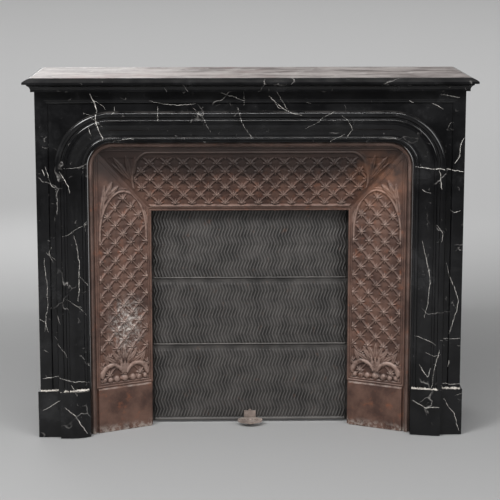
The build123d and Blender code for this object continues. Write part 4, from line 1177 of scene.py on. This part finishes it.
@dataclass
class Insert:
    """The splayed cast-iron insert inside the bead frame."""

    finishes: Finishes
    front_x: float = 0.4667
    front_y: float = -0.110
    front_z: float = 0.8767
    inner_x: float = 0.300
    inner_y: float = -0.031
    inner_z: float = 0.672
    base: float = 0.1385
    spring: float = 0.61
    header_arch: float = 0.052
    cheek_arch: float = 0.127
    arch_margin: float = 0.004
    spray_half: float = 0.0098
    relief: float = 0.0052
    header_spray: tuple[tuple[Pair, float, float], ...] = (
        ((0.357, -0.112), 57, 0.092), ((0.357, -0.104), 80, 0.076),
        ((0.372, -0.104), 47, 0.072), ((0.352, -0.098), 103, 0.062),
    )
    cheek_spray: tuple[tuple[Pair, float, float], ...] = (
        ((0.021, 0.655), 82, 0.105), ((0.022, 0.695), 62, 0.082),
        ((0.030, 0.712), 40, 0.066), ((0.168, 0.630), 98, 0.046),
    )
    fronds: tuple[tuple[Pair, float, float, float], ...] = (
        ((0.016, 0.056), 62, 0.050, 0.0088),
        ((0.022, 0.054), 34, 0.052, 0.0088),
        ((0.052, 0.050), 68, 0.042, 0.0080),
        ((0.062, 0.040), 30, 0.026, 0.0066),
    )
    knobs: tuple[tuple[float, ...], ...] = (
        (0.026, 0.009, 0.0105, 0.0062), (0.047, 0.008, 0.0095, 0.0058), (0.066, 0.009, 0.0080, 0.0062),
    )

    def build(self) -> None:
        """Builds the header and both cheeks."""
        tree = trellis_tree()
        self._header(tree)
        for side in Side:
            self._cheek(side, tree)
        for node in ("insert_header", "left_cheek", "right_cheek", "left_base_plate", "right_base_plate"):
            dress(node, self.finishes.casting)
        dress("insert_frame", self.finishes.bead)

    def _mitre(self) -> tuple[Vector, Vector]:
        """A point on the right mitre plane and its direction, from the header towards the cheek."""
        depth = self.inner_y - self.front_y
        wide = math.hypot(self.front_x - self.inner_x, depth)
        high = math.hypot(self.front_z - self.inner_z, depth)
        cheek = Vector((-depth / wide, -(self.front_x - self.inner_x) / wide, 0))
        header = Vector((0, -(self.front_z - self.inner_z) / high, -depth / high))
        return Vector((self.front_x, self.front_y, self.front_z)), (header - cheek).normalized()

    def _header(self, tree: NodeTree) -> None:
        """Builds the header's skin.

        Args:
            tree: The trellis tree.
        """
        depth = self.inner_y - self.front_y
        fall = self.front_z - self.inner_z
        run = math.hypot(fall, depth)
        face = CastingFace(
            "header_relief", "insert_header", Vector((0, self.front_y, self.front_z)), Vector((1, 0, 0)),
            Vector((0, -depth / run, fall / run)), Vector((0, -fall / run, -depth / run)),
            self.finishes.casting,
        )
        rows = int(run / face.step)
        columns = int(2 * self.front_x / face.step)
        share = np.linspace(1, 0, rows)[:, None] * np.ones((1, columns))
        half = self.front_x - (self.front_x - self.inner_x) * share
        u = half * np.linspace(-1, 1, columns)[None, :]
        v = -run * share
        lean = math.cos(math.atan((self.front_x - self.inner_x) / run))
        mitre = (half - np.abs(u)) * lean
        smooth_top = 0.0012 * (1 - ramp(-v, 0.036, 0.038)) * ramp(mitre, face.band, face.band + 0.002)
        half_panel = run / 2 - face.rim - self.arch_margin
        arch = arch_inset(np.abs(u) - self.inner_x, v + run / 2, self.header_arch, half_panel)
        ornament = np.maximum.reduce([smooth_top, *self._sprays(np.abs(u), v, self.header_spray)])
        panel = Panel(u, v, [-v, run + v], mitre, ornament, arch)
        face.build(panel, self._mitre(), tree, (0.0, -run / 2))

    def _sprays(self, u: Array, v: Array, leaves: tuple) -> list[Array]:
        """The loose leaves beside a mitre.

        Args:
            u: Place along the face.
            v: Place up the face.
            leaves: Each leaf's foot, angle and length.

        Returns:
            The height of each leaf.
        """
        return [leaf_ridge(u, v, *leaf, self.spray_half, self.relief) for leaf in leaves]

    def _cheek(self, side: Side, tree: NodeTree) -> None:
        """Builds one cheek's skin.

        Args:
            side: Which cheek.
            tree: The trellis tree.
        """
        depth = self.inner_y - self.front_y
        narrow = self.front_x - self.inner_x
        run = math.hypot(narrow, depth)
        face = CastingFace(
            f"{side.word}_cheek_relief", f"{side.word}_cheek",
            Vector((side.value * self.front_x, self.front_y, 0)),
            Vector((-side.value * narrow / run, depth / run, 0)), Vector((0, 0, 1)),
            Vector((-side.value * depth / run, -narrow / run, 0)), self.finishes.casting,
        )
        columns = int(run / face.step)
        rows = int((self.front_z - self.base) / face.step)
        u = np.linspace(0, run, columns)[None, :] * np.ones((rows, 1))
        top = self.front_z - (self.front_z - self.inner_z) * u / run
        v = self.base + (top - self.base) * np.linspace(0, 1, rows)[:, None]
        lean = math.cos(math.atan((self.front_z - self.inner_z) / run))
        point, out = self._mitre()
        half_panel = run / 2 - face.rim - self.arch_margin
        arch = arch_inset(v - self.spring, u - run / 2, self.cheek_arch, half_panel)
        arch = np.where(v < self.spring - 0.02, 0.02, arch)
        palmette = self._palmette(u - run / 2, v - self.base - face.rim)
        ornament = np.maximum.reduce([palmette, *self._sprays(u, v, self.cheek_spray)])
        panel = Panel(u, v, [u, run - u, v - self.base], (top - v) * lean, ornament, arch)
        face.build(panel, (point, -out), tree, (run / 2, 0.5))

    def _palmette(self, x: Array, y: Array) -> Array:
        """The leaf ornament over the base plate.

        It is a bulb, a fluted stem and a crown of five leaves, with a leafy arch and a row of knobs
        on either hand.

        Args:
            x: Place across the cheek, from its middle.
            y: Height above the rim.

        Returns:
            Its height.
        """
        parts = [dome(np.hypot(x, (y - 0.010) * 1.2), 0.0125, 0.0080)]
        for number in (-1, 0, 1):
            parts.append(leaf_ridge(x, y, (number * 0.0065, 0.022), 90 - number * 7, 0.050, 0.0068, 0.0066))
        for number in range(-2, 3):
            length = 0.048 - 0.004 * abs(number)
            parts.append(leaf_ridge(x, y, (number * 0.004, 0.064), 90 - number * 26, length, 0.0098, 0.0054))
        for sign in (-1, 1):
            parts.append(curl_ridge(sign * x, y, (0.040, 0.020), 0.033, (-12, 172), (0.0100, 0.0060), 0.0070))
            for frond in self.fronds:
                parts.append(leaf_ridge(sign * x, y, *frond, self.relief))
            for out, up, radius, height in self.knobs:
                parts.append(dome(np.hypot(sign * x - out, y - up), radius, height))
        return np.maximum.reduce(parts)


@dataclass
class Shutter:
    """The three pressed leaves of the rising shutter, with the handle's beads."""

    finishes: Finishes
    width: float = 0.656
    field: float = 0.594
    thick: float = 0.0012
    depth: float = 0.0034
    hem: float = 0.010
    roll: float = 0.0032
    lip: float = 0.005
    strip: float = 0.012
    run: float = 0.026
    columns: int = 401
    oval: Triple = (0.0345, 0.0245, 0.0162)
    oval_turn: Pair = (170, 370)
    leaves: tuple = (
        ("leaf_bottom", "bottom_leaf", 0.005, 0.247, -0.008),
        ("leaf_middle", "middle_leaf", 0.212, 0.247, 0.0),
        ("leaf_top", "top_leaf", 0.419, 0.285, 0.008),
    )

    def build(self) -> None:
        """Builds the leaves and the handle's trim."""
        tree = chevron_tree()
        for leaf in self.leaves:
            self._leaf(tree, *leaf)
        for node in ("shutter_handle", "handle_rivets"):
            dress(node, self.finishes.handle)
        for node in ("lug_rivets", "cable_ferrules"):
            dress(node, self.finishes.steel)
        for side in Side:
            dress(f"{side.word}_cable_lug", self.finishes.leaf)
        self._handle_beads()

    def _leaf(
        self, tree: NodeTree, node: str, body: str, bottom: float, tall: float, back: float
    ) -> None:
        """Builds one leaf as a thin pressed sheet with rolled hems.

        Args:
            tree: The chevron tree.
            node: The leaf that it stands for.
            body: The body that it rides on.
            bottom: Its foot's height.
            tall: Its own height.
            back: The depth of its back.
        """
        low, high = bottom + self.hem, bottom + tall - self.lip - self.strip
        rows = round((high - low) / self.run)
        xs = np.concatenate([
            np.linspace(-self.width / 2, -self.field / 2, 4)[:-1],
            np.linspace(-self.field / 2, self.field / 2, self.columns),
            np.linspace(self.field / 2, self.width / 2, 4)[1:],
        ])
        zs = np.concatenate([
            np.linspace(bottom, low, 7)[:-1], np.linspace(low, high, rows * 6 + 1),
            np.linspace(high, bottom + tall - self.lip, 4)[1:],
            np.linspace(bottom + tall - self.lip, bottom + tall, 6)[1:],
        ])
        x, z = np.meshgrid(xs, zs)
        front = back - self.thick
        inside_x = ramp(self.field / 2 - np.abs(x), 0.0, 0.003)
        field = inside_x * ramp(z - low, 0.0, 0.0015) * ramp(high - z, 0.0, 0.003)
        hem = dome(np.abs(z - (bottom + self.hem / 2)), self.hem / 2 + 1e-6, self.roll)
        lip = dome(np.abs(z - (bottom + tall - self.lip / 2)), self.lip / 2 + 1e-6, self.roll)
        raised = np.maximum(hem, lip) * inside_x
        points = np.stack([x, np.full_like(x, front), z], -1).reshape(-1, 3)
        piece = mesh_object(f"{node}_pressed", points, grid_faces(len(xs), len(zs)), self.finishes.leaf)
        store(piece, "field", field)
        store(piece, "raised", raised)
        sizes = {"Run": (high - low) / rows, "Base": low, "Depth": self.depth}
        run_tree(piece, tree, {**sizes, "Material": self.finishes.leaf})
        solid = piece.modifiers.new("sheet", "SOLIDIFY")
        solid.thickness, solid.offset = self.thick, -1.0
        settle(piece)
        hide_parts(node)
        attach(piece, body)
        log.info("%s: %d faces", piece.name, len(piece.data.polygons))

    def _handle_beads(self) -> None:
        """Sets a row of beads round the handle's oval."""
        low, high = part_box("shutter_handle")
        wide, deep, level = self.oval
        turns = np.linspace(*np.radians(self.oval_turn), 60)
        ys = (low.y + high.y) / 2 + deep * np.sin(turns)
        points = np.stack([wide * np.cos(turns), ys, np.full_like(turns, level)], -1)
        mesh = bpy.data.meshes.new("handle_beads")
        mesh.from_pydata(points.tolist(), [(k, k + 1) for k in range(len(points) - 1)], [])
        piece = bpy.data.objects.new("handle_beads", mesh)
        bpy.context.scene.collection.objects.link(piece)
        run_tree(piece, bead_tree(), {"Material": self.finishes.handle})
        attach(piece, "bottom_leaf")
        log.info("%s: %d faces", piece.name, len(piece.data.polygons))


@dataclass
class Mechanism:
    """Rails, pulleys, cables and counterweights behind the cheeks."""

    finishes: Finishes
    leaf_x: float = 0.309
    weight_x: float = 0.3884
    cable_y: float = -0.0193
    pulley_z: float = 0.955
    lug_z: float = 0.244
    eye_z: float = 0.910
    travel: float = 0.650

    def build(self) -> None:
        """Dresses the ironwork and twists the cables."""
        f = self.finishes
        tree = rope_tree()
        for node in ("head_bar", "wall_ties", "marble_cramps", "lintel_dowels"):
            dress(node, f.wrought)
        for node in ("head_bar_bolts", "rail_screws", "leaf_stop_pins", "tie_screws", "insert_screws"):
            dress(node, f.steel)
        for side in Side:
            for name, finish in (
                ("guide_rail", f.wrought), ("pulley_bracket", f.wrought), ("pulley", f.brass),
                ("pulley_axle", f.steel), ("counterweight", f.weight), ("weight_eye", f.steel),
                ("cable_over_pulley", f.steel),
            ):
                dress(f"{side.word}_{name}", finish)
            rope = self._rope(side, tree, "leaf", self.leaf_x, self.lug_z)
            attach(rope, "surround")
            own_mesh(rope)
            rope = self._rope(side, tree, "weight", self.weight_x, self.eye_z)
            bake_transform(rope)

    def _rope(self, side: Side, tree: NodeTree, end: str, x: float, foot: float) -> Piece:
        """Twists one straight run of cable.

        Args:
            side: Which side.
            tree: The rope tree.
            end: Whether it is the leaf's or the weight's run.
            x: Its distance from the middle.
            foot: Its lower end's height.

        Returns:
            The rope, in the place of its plain cable.
        """
        piece = mesh_object(f"{side.word}_{end}_rope", np.zeros((0, 3)), [], self.finishes.steel)
        place = (side.value * x, self.cable_y, foot)
        length = self.pulley_z - foot
        run_tree(piece, tree, {"Foot": place, "Length": length, "Material": self.finishes.steel})
        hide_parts(f"{side.word}_{end}_cable")
        log.info("%s: %d faces", piece.name, len(piece.data.polygons))
        return piece


@dataclass
class Surround:
    """The marble mantel, with the mortar that shows in its joints."""

    finishes: Finishes
    opening: float = 0.482
    outer: float = 0.630
    stray_veins: int = 112
    vein_half: float = 0.00052
    vein_stride: float = 0.002
    vein_wobble: float = 0.0005
    vein_edges: tuple[Pair, ...] = ((-1, 0.00003), (0, 0.00014), (1, 0.00003))
    vein_jump: float = 0.004
    bed: float = 0.142
    mortar: tuple[Pair, ...] = (
        (0.003, 0.137), (0.016, 0.143), (0.059, 0.152), (0.075, 0.152),
        (0.0875, 0.1545), (0.0885, 0.139), (0.122, 0.145), (0.147, 0.145),
    )
    mortar_steps: int = 110

    def build(self) -> None:
        """Dresses the marble and fills the joints."""
        dress("mantel_shelf", self.finishes.shelf)
        dress("lintel", self.finishes.marble)
        for side in Side:
            for name in ("jamb", "plinth", "return", "return_plinth"):
                dress(f"{side.word}_{name}", self.finishes.marble)
            self._seam(side)
        self._veins()

    def _veins(self) -> None:
        """Lays the main white veins on the front as thin ribbons that follow the mouldings."""
        seed = np.random.default_rng(7)
        runs = [(width, [front_place(*spot) for spot in spots]) for width, spots in MAIN_VEINS]
        runs += [self._stray(seed) for _ in range(self.stray_veins)]
        surface = self._front()
        points, faces = [], []
        for width, line in runs:
            self._ribbon(surface, np.array(line), self.vein_half * width, seed, points, faces)
        piece = mesh_object("white_veins", np.array(points), faces, self.finishes.vein)
        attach(piece, "surround")
        log.info("white_veins: %d runs, %d faces", len(runs), len(faces))

    def _stray(self, seed: np.random.Generator) -> tuple[float, list[Triple]]:
        """One thin short vein somewhere on the front.

        Args:
            seed: The random source.

        Returns:
            Its width and its corner points.
        """
        x, z = seed.uniform(-self.outer, self.outer), seed.uniform(0.0, 1.04)
        heading = seed.choice([0.5, 1.1, 2.2]) + seed.normal() * 0.35
        line = []
        for _ in range(int(seed.integers(2, 5))):
            line.append((x, 0.0, z))
            heading += seed.normal() * 0.5
            stride = seed.uniform(0.012, 0.045)
            x, z = x + stride * math.cos(heading), z + stride * math.sin(heading)
        return seed.uniform(0.45, 1.0), line

    def _front(self) -> BVHTree:
        """Gathers the marble's carried-over faces, to find the surface behind a spot.

        Returns:
            The faces of the lintel, jambs and plinths as one tree.
        """
        corners, faces = [], []
        for name in ["lintel"] + [f"{side.word}_{part}" for side in Side for part in ("jamb", "plinth")]:
            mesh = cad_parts[name].data
            start = len(corners)
            corners += [v.co.copy() for v in mesh.vertices]
            faces += [[start + k for k in polygon.vertices] for polygon in mesh.polygons]
        return BVHTree.FromPolygons(corners, faces)

    def _ribbon(
        self, surface: BVHTree, line: Array, half: float, seed: np.random.Generator, points: list, faces: list
    ) -> None:
        """Adds one vein to the ribbons.

        Args:
            surface: The marble's surface.
            line: The vein's corner points.
            half: Half its width.
            seed: The random source.
            points: The corner points so far.
            faces: The faces so far.
        """
        steps = np.linalg.norm(np.diff(line, axis=0), axis=1)
        reach = np.concatenate([[0], np.cumsum(steps)])
        count = max(4, int(reach[-1] / self.vein_stride))
        along = np.linspace(0, reach[-1], count)
        x, z = (np.interp(along, reach, line[:, axis]) for axis in (0, 2))
        drift = np.cumsum(seed.normal(size=(2, count)) * self.vein_wobble, axis=1)
        drift -= np.linspace(0, 1, count) * drift[:, -1:]
        x, z = x + drift[0], z + drift[1]
        tx, tz = np.gradient(x), np.gradient(z)
        norm = np.hypot(tx, tz) + 1e-9
        taper = np.sin(np.linspace(0.25, math.pi - 0.25, count)) ** 0.4
        wide = half * (0.55 + 0.9 * seed.random(count)) * taper
        last = None
        for k in range(count):
            row = []
            for share, lift in self.vein_edges:
                px = x[k] - share * wide[k] * tz[k] / norm[k]
                pz = z[k] + share * wide[k] * tx[k] / norm[k]
                hit, normal, _, _ = surface.ray_cast(Vector((px, -1.0, pz)), Vector((0, 1, 0)), 0.93)
                if hit is None:
                    row = None
                    break
                row.append(hit + (normal if normal.y < 0 else -normal) * lift)
            if row is None or (last and max(abs(a.y - b.y) for a, b in zip(row, last[1])) > self.vein_jump):
                last = None if row is None else (len(points), row)
                points += [tuple(p) for p in row or []]
                continue
            start = len(points)
            points += [tuple(p) for p in row]
            if last is not None:
                a = last[0]
                for c in (0, 1):
                    faces.append((a + c, start + c, start + c + 1, a + c + 1))
            last = (start, row)

    def _seam(self, side: Side) -> None:
        """Lays a ragged fillet of mortar where a jamb stands on its plinth.

        Args:
            side: Which jamb.
        """
        seed = np.random.default_rng(11 + side.value)
        line, steps, bed = np.array(self.mortar), self.mortar_steps, self.bed
        outs = np.linspace(line[0, 0], line[-1, 0], steps)
        deep = np.interp(outs, line[:, 0], line[:, 1])
        ragged = np.convolve(seed.normal(size=steps + 4), np.ones(5) / 5, "valid")
        wide = 0.0028 + 0.0046 * np.abs(ragged) * 1.6
        tall = 0.0030 + 0.0042 * seed.random(steps)
        points, faces = [], []
        for k, (out, y) in enumerate(zip(outs, deep)):
            x = side.value * (self.opening + out)
            points += [
                (x, -y + 0.001, bed + 0.0001), (x, -y - wide[k], bed + 0.0001),
                (x, -y - 0.6 * wide[k], bed + 0.5 * tall[k]), (x, -y + 0.0004, bed + tall[k]),
            ]
            if k:
                a = 4 * (k - 1)
                for c in range(4):
                    quad = (a + c, a + (c + 1) % 4, a + 4 + (c + 1) % 4, a + 4 + c)
                    faces.append(quad if side is Side.LEFT else quad[::-1])
        last = 4 * (len(outs) - 1)
        ends = [(0, 1, 2, 3), (last + 3, last + 2, last + 1, last)]
        faces += ends if side is Side.RIGHT else [e[::-1] for e in ends]
        piece = mesh_object(f"{side.word}_plinth_mortar", np.array(points), faces, self.finishes.mortar)
        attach(piece, "surround")
        log.info("%s: %d faces", piece.name, len(faces))


@dataclass
class Studio:
    """Floor, backdrop, lights and camera."""

    # Floor and backdrop tones, the floor's darker tone being painted shade, then the strength of the backdrop's
    # painted glow.
    floor: float = 0.29
    wall: float = 0.42
    glow: float = 0.31
    world: float = 0.41
    half_width: float = 30.0
    bend: Pair = (3.6, 2.0)
    lamps: tuple = (
        ("key", (-1.9, -2.2, 2.7), (1.2, 0.8), 100),
        ("fill", (2.4, -2.4, 1.7), (1.5, 1.5), 48),
        ("behind", (-1.3, 3.0, 1.9), (2.0, 1.4), 34),
        ("strip", (0.1, -1.9, 2.9), (2.6, 0.16), 50),
    )
    aim: Triple = (0, -0.1, 0.5)
    eye: Triple = (-0.0974, -4.6279, 1.499)
    tilt: float = 0.1619
    pan: float = -0.0212
    lens: float = 111.2
    shift: float = -0.13

    def build(self) -> None:
        """Builds the stage."""
        self._sweep()
        for lamp in self.lamps:
            self._lamp(*lamp)
        world = bpy.data.worlds.new("studio")
        world.use_nodes = True
        sky = world.node_tree.nodes["Background"].inputs
        sky[0].default_value, sky[1].default_value = (1.0, 1.0, 1.0, 1.0), self.world
        bpy.context.scene.world = world
        bpy.context.scene.view_settings.view_transform = "Standard"
        self._camera()

    def _sweep(self) -> None:
        """A pale floor that curves up into the backdrop, with painted shade low down and a painted glow on the
        backdrop.
        """
        finish = bpy.data.materials.new("pale_stage")
        finish.use_nodes = True
        t = Tree(finish.node_tree)
        shader = finish.node_tree.nodes["Principled BSDF"]
        place = t.add("ShaderNodeTexCoord").outputs["Object"]
        level, depth = t.part(place, "Z"), t.part(place, "Y")
        # Painted shade: the floor is coloured darker than the backdrop.
        low, high = (self.floor,) * 3 + (1,), (self.wall,) * 3 + (1,)
        t.put(shader.inputs["Base Color"], t.blend(t.rise(level, 0.0, 1.2), low, high))
        # Painted light: the backdrop glows for the camera and in reflections, but lights nothing.
        rays = t.add("ShaderNodeLightPath").outputs
        bounced = t.calc("MAXIMUM", rays["Is Glossy Ray"], rays["Is Transmission Ray"])
        seen = t.calc("MAXIMUM", rays["Is Camera Ray"], bounced)
        fall = t.minus(1.0, t.times(t.rise(level, 0.3, 1.8), 0.8))
        glow = t.times(t.times(t.rise(depth, 0.5, 3.6), fall), self.glow)
        t.put(shader.inputs["Emission Strength"], t.times(glow, seen))
        shader.inputs["Emission Color"].default_value = (1.0, 1.0, 1.0, 1.0)
        shader.inputs["Roughness"].default_value = 0.9
        start, radius = self.bend
        path = [(-self.half_width, -0.001), (start, -0.001)]
        for a in np.linspace(0.1, math.pi / 2, 12):
            path.append((start + radius * math.sin(a), radius - 0.001 - radius * math.cos(a)))
        path.append((start + radius, 14.0))
        points = np.array([(x, y, z) for y, z in path for x in (-self.half_width, self.half_width)])
        faces = [(2 * k, 2 * k + 1, 2 * k + 3, 2 * k + 2) for k in range(len(path) - 1)]
        floor = mesh_object("floor", points, faces, finish)
        log.info("floor: %d bends", len(faces))

    def _lamp(self, name: str, place: Triple, size: Pair, power: float) -> None:
        """A soft rectangular lamp aimed at the fireplace.

        Args:
            name: Its name.
            place: Where it stands.
            size: Its width and height.
            power: Its power in watts.
        """
        data = bpy.data.lights.new(name, "AREA")
        data.shape, data.size, data.size_y, data.energy = "RECTANGLE", *size, power
        lamp = bpy.data.objects.new(name, data)
        lamp.location = place
        lamp.rotation_euler = (Vector(self.aim) - Vector(place)).to_track_quat("-Z", "Y").to_euler()
        bpy.context.scene.collection.objects.link(lamp)

    def _camera(self) -> None:
        """The camera at the picture's height and angle."""
        data = bpy.data.cameras.new("camera")
        data.lens, data.sensor_width, data.shift_y = self.lens, 36.0, self.shift
        camera = bpy.data.objects.new("camera", data)
        camera.location = self.eye
        camera.rotation_euler = (math.pi / 2 - self.tilt, 0.0, self.pan)
        bpy.context.scene.collection.objects.link(camera)
        bpy.context.scene.camera = camera


def dress(node: str, material: Material) -> None:
    """Gives a carried-over node its finish.

    Args:
        node: The node's name.
        material: The finish.
    """
    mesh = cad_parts[node].data
    mesh.materials.clear()
    mesh.materials.append(material)


def main() -> None:
    """Builds the fireplace in order."""
    finishes = make_finishes()
    for part in (Surround(finishes), Insert(finishes), Shutter(finishes), Mechanism(finishes)):
        part.build()
        log.info("built %s", type(part).__name__)
    Studio().build()


if __name__ == "__main__":
    main()
